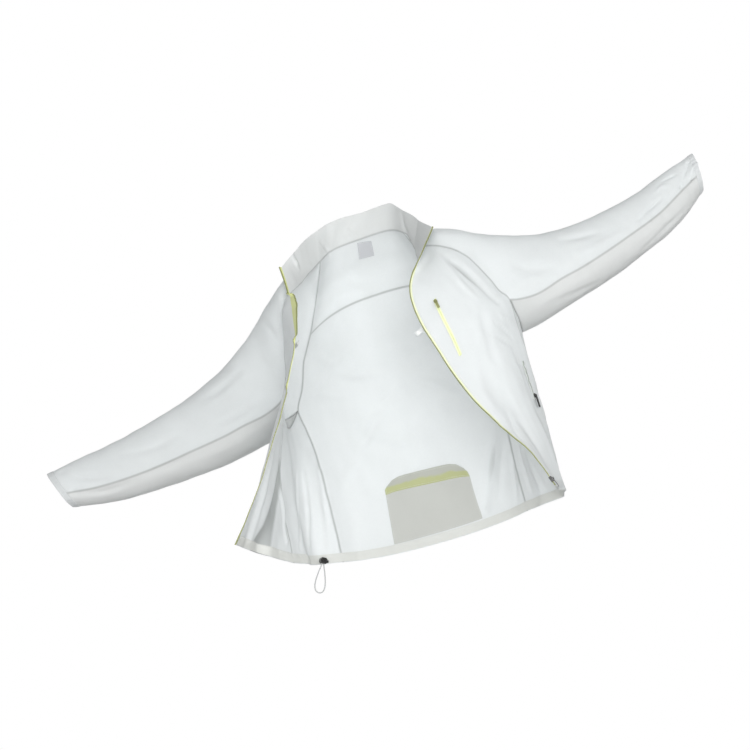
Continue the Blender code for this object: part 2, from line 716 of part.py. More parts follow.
def cuff(name, upper, under):
    """Ring of binding beyond the end of a sleeve, drawn in a little."""
    ring = np.concatenate([upper[-1], under[-1][1:-1]])
    before = np.concatenate([upper[-2], under[-2][1:-1]])
    centre = ring.mean(axis=0)
    axis = centre - before.mean(axis=0)
    axis = axis / np.linalg.norm(axis)
    spokes = ring - centre
    spokes -= (spokes @ axis)[:, None] * axis
    lengths = np.linalg.norm(spokes, axis=1, keepdims=True)
    outer, inner = [], []
    for distance, scale in ((GAP, 1.0), (CUFF_LENGTH * 0.5, 0.965), (CUFF_LENGTH, 0.95)):
        base = ring + axis * distance + spokes * (scale - 1)
        outer.append(base + spokes / lengths * CUFF_WALL / 2)
        inner.append(base - spokes / lengths * CUFF_WALL / 2)
    return solid(name, np.array(outer), np.array(inner), WHITE, closed_round=True)


def joined(target, tool, operation):
    """The target with the tool united with it or cut out of it."""
    step = target.modifiers.new(operation.lower(), "BOOLEAN")
    step.operation = operation
    step.solver = "EXACT"
    step.object = tool
    tool.hide_render = True
    tool.display_type = "WIRE"


def side_prism(name, frame, outline, half_width, colour):
    """A plate whose outline lies along and away from the cloth, with its middle on the frame's origin."""
    origin, across, ahead, away = frame
    points = [origin + u * ahead + v * away - half_width * across for u, v in outline]
    points += [origin + u * ahead + v * away + half_width * across for u, v in outline]
    count = len(outline)
    faces = [list(range(count))[::-1], list(range(count, 2 * count))]
    faces += [[i, (i + 1) % count, count + (i + 1) % count, count + i] for i in range(count)]
    return mesh_object(name, points, faces, colour)


def add_bridge(slider, frame, top, colour):
    """The bow on a slider, in which its pull hangs."""
    out, inner, low, high = 0.0021, 0.0012, 0.0018, 0.0025
    outline = [(-out, -0.0008), (-inner, -0.0008), (-inner, low), (inner, low)]
    outline += [(inner, -0.0008), (out, -0.0008), (out, high), (-out, high)]
    raised = [(u, v + top) for u, v in outline]
    tool = side_prism(slider.name + "_bow", frame, raised, BRIDGE_WIDTH / 2, colour)
    joined(slider, tool, "UNION")


def pull(name, frame, top, width, length, colour):
    """A pull tab with an eye round its slider's bow. Its origin is on its hinge."""
    w, c, e = width / 2, width / 4, BRIDGE_WIDTH / 2 + 0.00045
    end = length - PIN_HALF
    outer = [(-w, -PIN_HALF), (w, -PIN_HALF), (w, EYE_LENGTH), (w, end - c)]
    outer += [(w - c, end), (c - w, end), (-w, end - c), (-w, EYE_LENGTH)]
    inner = [(-e, PIN_HALF), (e, PIN_HALF), (e, EYE_LENGTH), (-e, EYE_LENGTH)]
    low, high = top + PIN_HEIGHT - PIN_HALF, top + PIN_HEIGHT + PIN_HALF
    flat = outer + inner
    count = len(flat)
    points = placed(frame, [(x, y, low) for x, y in flat] + [(x, y, high) for x, y in flat])
    plates = [(0, 1, 9, 8), (1, 2, 10, 9), (0, 8, 11, 7), (2, 3, 4, 5, 6, 7, 11, 10)]
    faces = [list(plate) for plate in plates]
    faces += [[corner + count for corner in reversed(plate)] for plate in plates]
    faces += [[(i + 1) % 8, i, count + i, count + (i + 1) % 8] for i in range(8)]
    faces += [[8 + i, 8 + (i + 1) % 4, count + 8 + (i + 1) % 4, count + 8 + i] for i in range(4)]
    pivot = placed(frame, [(0, 0, top + PIN_HEIGHT)])[0]
    return mesh_object(name, points, faces, colour, pivot)


def rod(name, start, axis, side, diameter, length, colour, pivot, sides=20):
    """A round bar from start along the axis."""
    axis, side = np.array(axis, float), np.array(side, float)
    other = np.cross(axis, side)
    ring = []
    for k in range(sides):
        turn = 2 * math.pi * k / sides
        ring.append((math.cos(turn) * side + math.sin(turn) * other) * diameter / 2)
    points = [start + p for p in ring] + [start + p + axis * length for p in ring]
    faces = [list(range(sides))[::-1], list(range(sides, 2 * sides))]
    faces += [[i, (i + 1) % sides, sides + (i + 1) % sides, sides + i] for i in range(sides)]
    return mesh_object(name, points, faces, colour, pivot)


def cord(name, points, colour):
    """A round cord through the points, closed at both ends."""
    curve = bpy.data.curves.new(name, "CURVE")
    curve.dimensions = "3D"
    curve.bevel_depth = CORD / 2
    curve.bevel_resolution = 2
    curve.use_fill_caps = True
    line = curve.splines.new("POLY")
    line.points.add(len(points) - 1)
    for spot, place in zip(line.points, points):
        spot.co = (*place, 1)
    made = bpy.data.objects.new(name, curve)
    bpy.context.scene.collection.objects.link(made)
    made.data.materials.append(material(colour))
    return made


def build_pocket_zip(name, grid, normals, places, width, steps, pull_size, tape_colour):
    """A zip on the outer face of a front, with its slider and pull tab."""
    tape = strip_places(grid, places["start"], places["end"], width, steps)
    solid(name + "_zip", *patch(grid, normals, tape, 1), tape_colour)
    frame = frame_on(grid, normals, *places["slider"], 1, places["end"])
    base = LIFT + TRIM + GAP
    top = base + SLIDER_HEIGHT
    slider = prism(name + "_slider", frame, rounded(SLIDER_WIDTH, SLIDER_LENGTH), base, top, BLACK)
    add_bridge(slider, frame, top, BLACK)
    pull(name + "_pull", frame, top, *pull_size, BLACK)


def build_front_slider(points, beyond, away):
    """The front zip's slider, a clip round the free edge near the hem, and its pull tab."""
    place, towards = 0.30, points[0] - points[1]
    origin = points[0] + place * (points[1] - points[0])
    ahead = towards / np.linalg.norm(towards)
    up = away[0] - (away[0] @ ahead) * ahead
    up /= np.linalg.norm(up)
    out = beyond[0] - (beyond[0] @ ahead) * ahead - (beyond[0] @ up) * up
    out /= np.linalg.norm(out)
    near, far, post = 0.0022, ZIP_WIDTH + 0.0022, ZIP_WIDTH + 0.0006
    low, high = ZIP_WALL / 2 + 0.0006, ZIP_WALL / 2 + 0.0020
    outline = [(near, low), (post, low), (post, -low), (near, -low)]
    outline += [(near, -high), (far, -high), (far, high), (near, high)]
    frame = (origin, ahead, out, up)
    slider = side_prism("slider_main", frame, outline, 0.0055, BLACK)
    across = np.cross(ahead, up)
    on_top = (origin + out * (near + far) / 2, across, ahead, up)
    add_bridge(slider, on_top, high, BLACK)
    pull("pull_main", on_top, high, 0.0056, 0.020, BLACK)


def build_tab(side, grid, normals, row, reach, outward_end):
    """A plain tab behind a front's free edge, with a snap on its far end."""
    last = grid.shape[1] - 1
    frame = frame_on(grid, normals, row, last - 0.05, -1, (row, last - 1))
    low = ZIP_WALL / 2 - CLOTH / 2 + LIFT
    outline = [(-0.005, 0.009), (0.005, 0.009), (0.005, 0.003 - reach), (0.0028, -reach), (-0.0028, -reach)]
    outline += [(-0.005, 0.003 - reach)]
    prism("tab_" + side, frame, outline, low, low + TRIM, WHITE)
    disc = []
    for k in range(12):
        turn = math.pi * k / 6
        disc.append((0.004 * math.cos(turn), outward_end + 0.004 * math.sin(turn)))
    prism("snap_" + side, frame, disc, low - GAP - 0.0012, low - GAP, WHITE)


def build_cord_lock(grid, normals):
    """The cord lock on the hem band, its plunger and the loop of cord below it."""
    origin = on_grid(grid, 0.17, 4.25)
    away = -on_grid(normals, 0.17, 4.25)
    away /= np.linalg.norm(away)
    ahead = -np.array(HANG)
    ahead -= (ahead @ away) / away[1] * np.array((0, 1, 0))
    ahead /= np.linalg.norm(ahead)
    across = np.cross(ahead, away)
    length, height, depth = LOCK_SIZE
    base = CLOTH / 2 + LIFT + TRIM + LOCK_GAP
    frame = (origin, across, ahead, away)
    lock = prism("cord_lock", frame, rounded(length, height, 0, 0.22), base, base + depth, BLACK)
    mouth = origin + away * (base + depth / 2) + across * (length / 2)
    bore = rod("cord_lock_bore", mouth + across * 0.002, -across, ahead, LOCK_BORE, 0.0115, BLACK, mouth)
    joined(lock, bore, "DIFFERENCE")
    tip = mouth + across * PLUNGER_OUT
    rod("lock_plunger", tip, -across, ahead, PLUNGER, PLUNGER_LENGTH, BLACK, tip)
    half = [(x, -y) for x, y in CORD_LOOP]
    bends = half + [(0.0, -CORD_DROP)] + [(-x, y) for x, y in half[::-1]]
    places = along([(x, y, 0.0) for x, y in bends], list(np.linspace(0, 1, 27)))
    foot = origin + away * (base + depth / 2) - ahead * (height / 2)
    cord("draw_cord", [foot + p[0] * across + p[1] * ahead for p in places], SHADE)


def main():
    for old in list(bpy.data.objects):
        bpy.data.objects.remove(old)
    grids, flips = build_panels()
    normals, mitres, trims = share_normals(grids, flips)
    for name, grid in grids.items():
        panel(name, grid, normals[name], mitres[name], trims[name], WHITE)

    collar, away = grids["collar"], normals["collar"]
    right, outer_right = grids["front_right"], normals["front_right"]
    left, outer_left = grids["front_left"], normals["front_left"]
    right_edge = free_edge(right, collar[:, 0], collar[:, 1], outer_right, away[:, 0])
    left_edge = free_edge(left, collar[:, -1], collar[:, -2], outer_left, away[:, -1])
    zip_half("zip_right", *right_edge)
    zip_half("zip_left", *left_edge)
    build_front_slider(*left_edge)

    hem, inward = hem_strip(grids, normals, mitres)
    near = hem + inward * (CLOTH / 2 + LIFT)
    solid("hem_band", near + inward * TRIM, near, MESH)
    cuff("cuff_right", grids["sleeve_upper_right"], grids["sleeve_under_right"])
    cuff("cuff_left", grids["sleeve_upper_left"], grids["sleeve_under_left"])

    back, yoke = grids["back"], grids["yoke"]
    foot = line_places(POCKET_LINES, 13)
    mouth = line_places(MOUTH_LINES, 13)
    label = line_places(LABEL_LINES, 3)
    solid("hem_pocket", *patch(back, normals["back"], foot, -1), MESH)
    solid("pocket_mouth", *patch(back, normals["back"], mouth, -1), SHADE)
    solid("neck_label", *patch(yoke, normals["yoke"], label, -1), SHADE)

    build_pocket_zip("chest", left, outer_left, CHEST_ZIP, CHEST_ZIP_WIDTH, 8, CHEST_PULL, LIME)
    build_pocket_zip("side", left, outer_left, SIDE_ZIP, SIDE_ZIP_WIDTH, 6, SIDE_PULL, SHADE)
    build_tab("left", left, outer_left, 10.10, 0.026, -0.019)
    build_tab("right", right, outer_right, 9.60, 0.022, -0.015)
    build_cord_lock(grids["side_right"], normals["side_right"])


main()
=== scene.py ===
import json
import math

import bpy
import mathutils
import numpy as np
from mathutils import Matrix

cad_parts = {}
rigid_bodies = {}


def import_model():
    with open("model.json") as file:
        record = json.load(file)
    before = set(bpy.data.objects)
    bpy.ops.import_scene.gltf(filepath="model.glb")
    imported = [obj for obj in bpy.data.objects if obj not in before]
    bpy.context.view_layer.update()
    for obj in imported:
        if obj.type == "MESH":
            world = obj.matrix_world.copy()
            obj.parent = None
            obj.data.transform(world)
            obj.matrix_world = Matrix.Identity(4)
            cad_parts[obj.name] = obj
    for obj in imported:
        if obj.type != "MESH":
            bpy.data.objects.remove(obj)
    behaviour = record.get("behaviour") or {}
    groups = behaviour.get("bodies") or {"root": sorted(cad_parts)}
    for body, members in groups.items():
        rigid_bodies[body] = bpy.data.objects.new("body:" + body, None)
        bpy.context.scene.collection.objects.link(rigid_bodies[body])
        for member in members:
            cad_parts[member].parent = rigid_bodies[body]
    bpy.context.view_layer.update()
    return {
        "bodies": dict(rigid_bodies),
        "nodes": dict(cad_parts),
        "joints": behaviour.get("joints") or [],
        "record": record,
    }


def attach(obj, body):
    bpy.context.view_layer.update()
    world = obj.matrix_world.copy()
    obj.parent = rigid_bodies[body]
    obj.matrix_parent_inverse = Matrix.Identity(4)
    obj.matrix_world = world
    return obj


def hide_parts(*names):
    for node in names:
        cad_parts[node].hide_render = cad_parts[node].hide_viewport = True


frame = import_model()

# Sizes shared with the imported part
CLOTH = 0.0010
ZIP_WIDTH = 0.0060
BAND_HEIGHT = 0.020
LIFT = 0.0006  # clear gap between a panel and what lies on it
TRIM = 0.0010  # wall of what lies on a panel
ZIP_WALL = 0.0018
CUFF_LENGTH = 0.014
CORD = 0.0025
CORD_DROP = 0.0615  # lowest point of the loop
CORD_IN = 0.0025  # how far its ends go into the lock
HANG = (-0.353, 0.0, -0.936)  # direction in which the loop and the lock hang
LOCK_SIZE = (0.0145, 0.0125, 0.0085)
LOCK_GAP = 0.0027  # from the hem band to the lock
LOCK_PLACE = (0.17, 4.25)  # row and column of the right side panel
LOW_ROWS = 8  # rows of a body panel from the hem to the armpit
HIGH_ROWS = 8  # and from there to the neck
YOKE_ROW = 4  # the yoke seam, above the armpit
FRONT_COLUMNS = 9
FLIPPED = ("back", "yoke", "front_left", "side_right", "sleeve_upper_right", "sleeve_under_right", "collar")

# Sizes of what is drawn here
FINE = 8  # steps in each cell of the part's grids
SHELL = 0.0006  # wall of the drawn cloth
TAPE_WALL = 0.0011
TAPE_START = 0.0004
TAPE_SHORT = 0.0021  # by how much less than the part's zip the tape is wide
COIL_SHORT = 0.0014  # from the rim of the part's zip to the middle of the coil
COIL_PITCH = 0.0017
COIL_TURN = (0.0028, 0.0012, 0.0019)
POCKET_COIL_TURN = (0.0026, 0.0012, 0.0009)
THREAD = 0.0004
STITCH = 0.0024
STITCH_STEP = 0.0036
STITCH_INSET = 0.0024  # from a seam to its topstitching
BROAD_WAVES = (0.0016, 0.16, 3)  # height, length and seed
SMALL_WAVES = (0.0007, 0.055, 4)
PUCKER = (0.0006, 0.020, 5)
PUCKER_REACH = 0.010
BROAD_CREASE = 0.018  # a crease wider than this gets three times the painted shade in its colour
# Rows of the right front between which its zip rolls out of sight, and the angle, and rows between
# which more of its tape is seen, and how much more
ZIP_ROLL = (6.7, 10.3, 2.95)
ZIP_BARED = (9.8, 16.8, 0.0095)
TAB_WALL = 0.0008
TAB_ROOT = 0.0085  # how far a tab is sewn down inside the free edge
TAB_HALF = 0.0051  # half of its width
TAB_ROUND = 0.0035  # length of its rounded end
SNAP_PROFILE = [(0.0012, 0.00045), (0.0016, 0.0001), (0.0026, 0.0001), (0.0030, 0.0005), (0.0036, 0.0005),
                (0.0040, 0.0001), (0.0040, -0.0006)]  # radius and height
SNAP_STEPS = 40

# Materials: scales of the mottle, distances from a seam and depths of a crease between which the colour
# turns darker (in a crease that is painted shade), how dark the painted shade in a crease gets, and half
# width and depth of the groove at a seam
BROAD_MOTTLE = 14.0
FINE_MOTTLE = 260.0
SEAM_SHADE = (0.0006, 0.0036)
PAINTED_FOLD_RANGE = (0.0045, 0.015)
PAINTED_FOLD_DARKNESS = 1.15
SEAM_GROOVE = (0.0018, 0.0005)

# The photograph's camera: 3.6 m away, looking up and rolled
CAMERA_TILT = math.radians(8.0)
CAMERA_ROLL = math.radians(14.0)
CAMERA_DISTANCE = 3.6
CAMERA_TARGET = (-0.0503, 0.0, -0.278)
PIXEL = 0.00206  # metres of the object in one pixel
PICTURE = 750
SENSOR = 36
FLOOR_REACH = 4
FLOOR_HEIGHT = -2.2

# Half width of the loop of cord and drop below its lock
CORD_LOOP = [
    (0.0024, 0.0003), (0.0040, 0.0080), (0.0066, 0.0165), (0.0088, 0.0258), (0.0104, 0.0330),
    (0.0115, 0.0420), (0.0115, 0.0485), (0.0099, 0.0546), (0.0068, 0.0592),
]

# Raglan part of the sleeves, neck to armpit: front seam, top of the shoulder, back seam
SHOULDER_RIGHT = [
    ((-0.150, -0.042, -0.0609), (-0.127, -0.003, -0.0337), (-0.105, 0.030, -0.012)),
    ((-0.183, -0.068, -0.090), (-0.166, 0.000, -0.032), (-0.133, 0.085, -0.078)),
    ((-0.200, -0.074, -0.135), (-0.210, 0.003, -0.066), (-0.163, 0.100, -0.145)),
    ((-0.217, -0.073, -0.205), (-0.246, 0.003, -0.098), (-0.193, 0.102, -0.206)),
    ((-0.241, -0.055, -0.286), (-0.282, 0.003, -0.134), (-0.226, 0.092, -0.299)),
]
SHOULDER_LEFT = [
    ((0.092, -0.028, -0.0440), (0.087, 0.004, -0.0134), (0.080, 0.030, 0.006)),
    ((0.140, -0.058, -0.060), (0.140, 0.000, -0.012), (0.118, 0.080, -0.060)),
    ((0.190, -0.064, -0.097), (0.205, 0.005, -0.039), (0.160, 0.100, -0.122)),
    ((0.224, -0.070, -0.155), (0.245, 0.005, -0.052), (0.203, 0.102, -0.172)),
    ((0.252, -0.070, -0.205), (0.281, 0.005, -0.061), (0.240, 0.092, -0.218)),
]
ARMPIT_RIGHT = (-0.252, 0.012, -0.338)
ARMPIT_LEFT = (0.264, 0.008, -0.263)

# Sections of each arm below the armpit: top of the section, bottom, depth (y), half depth,
# and the share of its height at which both sleeve seams lie, from the top
ARM_COLUMNS = ("top_x", "top_z", "bottom_x", "bottom_z", "y", "half_depth", "seam_share")
ARM_RIGHT = [
    (-0.346, -0.182, -0.327, -0.369, 0.008, 0.069, 0.75),
    (-0.460, -0.239, -0.444, -0.392, 0.006, 0.057, 0.70),
    (-0.574, -0.275, -0.556, -0.400, 0.005, 0.048, 0.71),
    (-0.669, -0.294, -0.650, -0.401, 0.005, 0.042, 0.70),
    (-0.741, -0.310, -0.703, -0.393, 0.005, 0.037, 0.66),
]
ARM_LEFT = [
    (0.353, -0.074, 0.374, -0.233, 0.012, 0.064, 0.70),
    (0.432, -0.070, 0.458, -0.205, 0.020, 0.055, 0.66),
    (0.510, -0.053, 0.545, -0.168, 0.032, 0.047, 0.63),
    (0.580, -0.030, 0.622, -0.130, 0.048, 0.041, 0.62),
    (0.645, 0.001, 0.675, -0.093, 0.064, 0.036, 0.60),
    (0.705, 0.025, 0.709, -0.062, 0.078, 0.032, 0.60),
]
SHOULDER_STEPS = (2, 2, 2, 2)
ARM_STEPS_RIGHT = (2, 3, 3, 2, 2)
ARM_STEPS_LEFT = (2, 2, 2, 2, 2, 2)
OVER_STEPS = 10  # columns of an upper sleeve
UNDER_STEPS = 6  # columns of an under sleeve and of a side panel

# Free edge of each front at its zip, hem to neck
EDGE_RIGHT = [
    (-0.385, -0.235, -0.564), (-0.319, -0.250, -0.474), (-0.269, -0.255, -0.388),
    (-0.230, -0.250, -0.318), (-0.202, -0.240, -0.260), (-0.183, -0.220, -0.206),
    (-0.179, -0.170, -0.141), (-0.176, -0.102, -0.090),
]
EDGE_LEFT = [
    (0.232, -0.246, -0.601), (0.205, -0.228, -0.530), (0.161, -0.202, -0.458), (0.114, -0.180, -0.366),
    (0.083, -0.164, -0.272), (0.067, -0.154, -0.221), (0.063, -0.130, -0.147), (0.090, -0.098, -0.0884),
]
ARMPIT_SHARE = 0.62  # share of that edge that lies below the armpit row

# Side seams, hem to just below the armpit
FRONT_SEAM_RIGHT = [
    (-0.303, -0.010, -0.613), (-0.296, -0.018, -0.500), (-0.276, -0.030, -0.400),
]
BACK_SEAM_RIGHT = [
    (-0.209, 0.100, -0.631), (-0.209, 0.100, -0.500), (-0.212, 0.100, -0.400),
]
FRONT_SEAM_LEFT = [
    (0.264, -0.035, -0.610), (0.264, -0.040, -0.500), (0.262, -0.045, -0.390), (0.257, -0.058, -0.290),
]
BACK_SEAM_LEFT = [
    (0.190, 0.100, -0.620), (0.191, 0.100, -0.500), (0.198, 0.100, -0.400), (0.214, 0.098, -0.300),
]

# Shape of the back between its two edges, for each named row: how far the middle lies
# behind the straight line between the edges, how far above it, and how full the curve is
BACK_ROWS = {
    "hem": (0.042, -0.014, 2.4),
    "waist": (0.044, 0.000, 2.4),
    "armpit": (0.046, 0.012, 2.4),
    "yoke seam": (0.040, 0.044, 2.7),
    "neck": (0.044, 0.026, 5.0),
}
BACK_SPANS = (4, 4, YOKE_ROW, HIGH_ROWS - YOKE_ROW)  # rows between those

# How far each front swells outward at its middle, and each side panel, hem to neck
FRONT_SWELL_RIGHT = [
    (-0.004, 0.010, 0), (-0.004, 0.010, 0), (-0.004, 0.004, 0), (-0.012, -0.004, 0), (-0.006, 0, 0),
    (0, 0, 0),
]
FRONT_SWELL_LEFT = [
    (0.002, -0.004, 0), (0.008, -0.014, 0), (0.010, -0.022, 0), (0.006, -0.018, 0), (0.015, 0.002, 0),
    (0, 0, 0),
]
SWELL_SPANS = (4, 4, 4, 3, 1)
SIDE_SWELL_RIGHT = (-0.016, 0.016, 0)
SIDE_SWELL_LEFT = (0.016, 0.012, 0)

# Largest folds. Across and up are shares of the panel, depth is outward, all lengths in metres
FOLD_COLUMNS = ("across", "half_width", "depth", "from_row", "to_row", "lean")
FOLDS = {
    "front_right": [(0.74, 0.13, 0.012, 0, 9, 0.02), (0.42, 0.10, -0.006, 0, 8, 0.0)],
    "front_left": [(0.30, 0.10, 0.006, 0, 8, 0.02), (0.62, 0.10, -0.006, 0, 10, 0.02)],
    "side_right": [(0.30, 0.16, -0.009, 0, 8, 0.0), (0.62, 0.14, 0.009, 0, 7, 0.0)],
    "side_left": [(0.34, 0.16, 0.009, 0, 8, 0.0), (0.68, 0.14, -0.008, 0, 7, 0.0)],
    "back": [(0.10, 0.05, 0.006, 0, 8, 0.0), (0.89, 0.05, 0.007, 0, 8, 0.0)],
}

# Top edge of the collar, above each named place along the neck seam
COLLAR_TOP = {
    "right zip": (-0.182, -0.073, -0.026),
    "right front seam": (-0.146, -0.035, 0.009),
    "right back seam": (-0.098, 0.030, 0.052),
    "right corner": (-0.050, 0.056, 0.072),
    "middle": (0.010, 0.080, 0.080),
    "left corner": (0.070, 0.062, 0.080),
    "left back seam": (0.090, 0.032, 0.052),
    "left front seam": (0.114, -0.016, 0.0128),
    "left zip": (0.135, -0.080, -0.0224),
}
CORNER_COLUMN = 2  # column of the yoke at which each corner of the neck lies, from its edge
COLLAR_ROWS = 3

# Lines of places across a panel, in rows and columns of its grid, from the foot of a piece up.
# The pocket and the band at its mouth are inside the back, the label inside the yoke
LINE_COLUMNS = ("start_row", "end_row", "bow", "start_column", "end_column")
POCKET_LINES = [
    (0.44, 0.44, 0, 3.35, 9.20), (1.15, 1.02, 0.02, 3.42, 9.13), (1.90, 1.62, 0.05, 3.50, 9.08),
    (2.65, 2.23, 0.08, 3.57, 9.06),
]
MOUTH_LINES = [
    (2.66, 2.24, 0.08, 3.57, 9.06), (2.88, 2.46, 0.18, 3.58, 8.98), (3.02, 2.66, 0.33, 3.75, 8.78),
]
LABEL_LINES = [
    (2.80, 2.70, 0, 5.25, 7.00), (3.32, 3.20, 0, 5.40, 7.20), (3.85, 3.70, 0, 5.55, 7.40),
]

# Zips on the outer face of the left front: places of both ends and of the slider as row and column
CHEST_ZIP = {"start": (11.30, 6.85), "end": (7.30, 7.75), "slider": (11.10, 6.895)}
CHEST_ZIP_WIDTH = 0.008
SIDE_ZIP = {"start": (5.60, 1.30), "end": (3.95, 1.55), "slider": (4.12, 1.52)}
SIDE_ZIP_WIDTH = 0.007

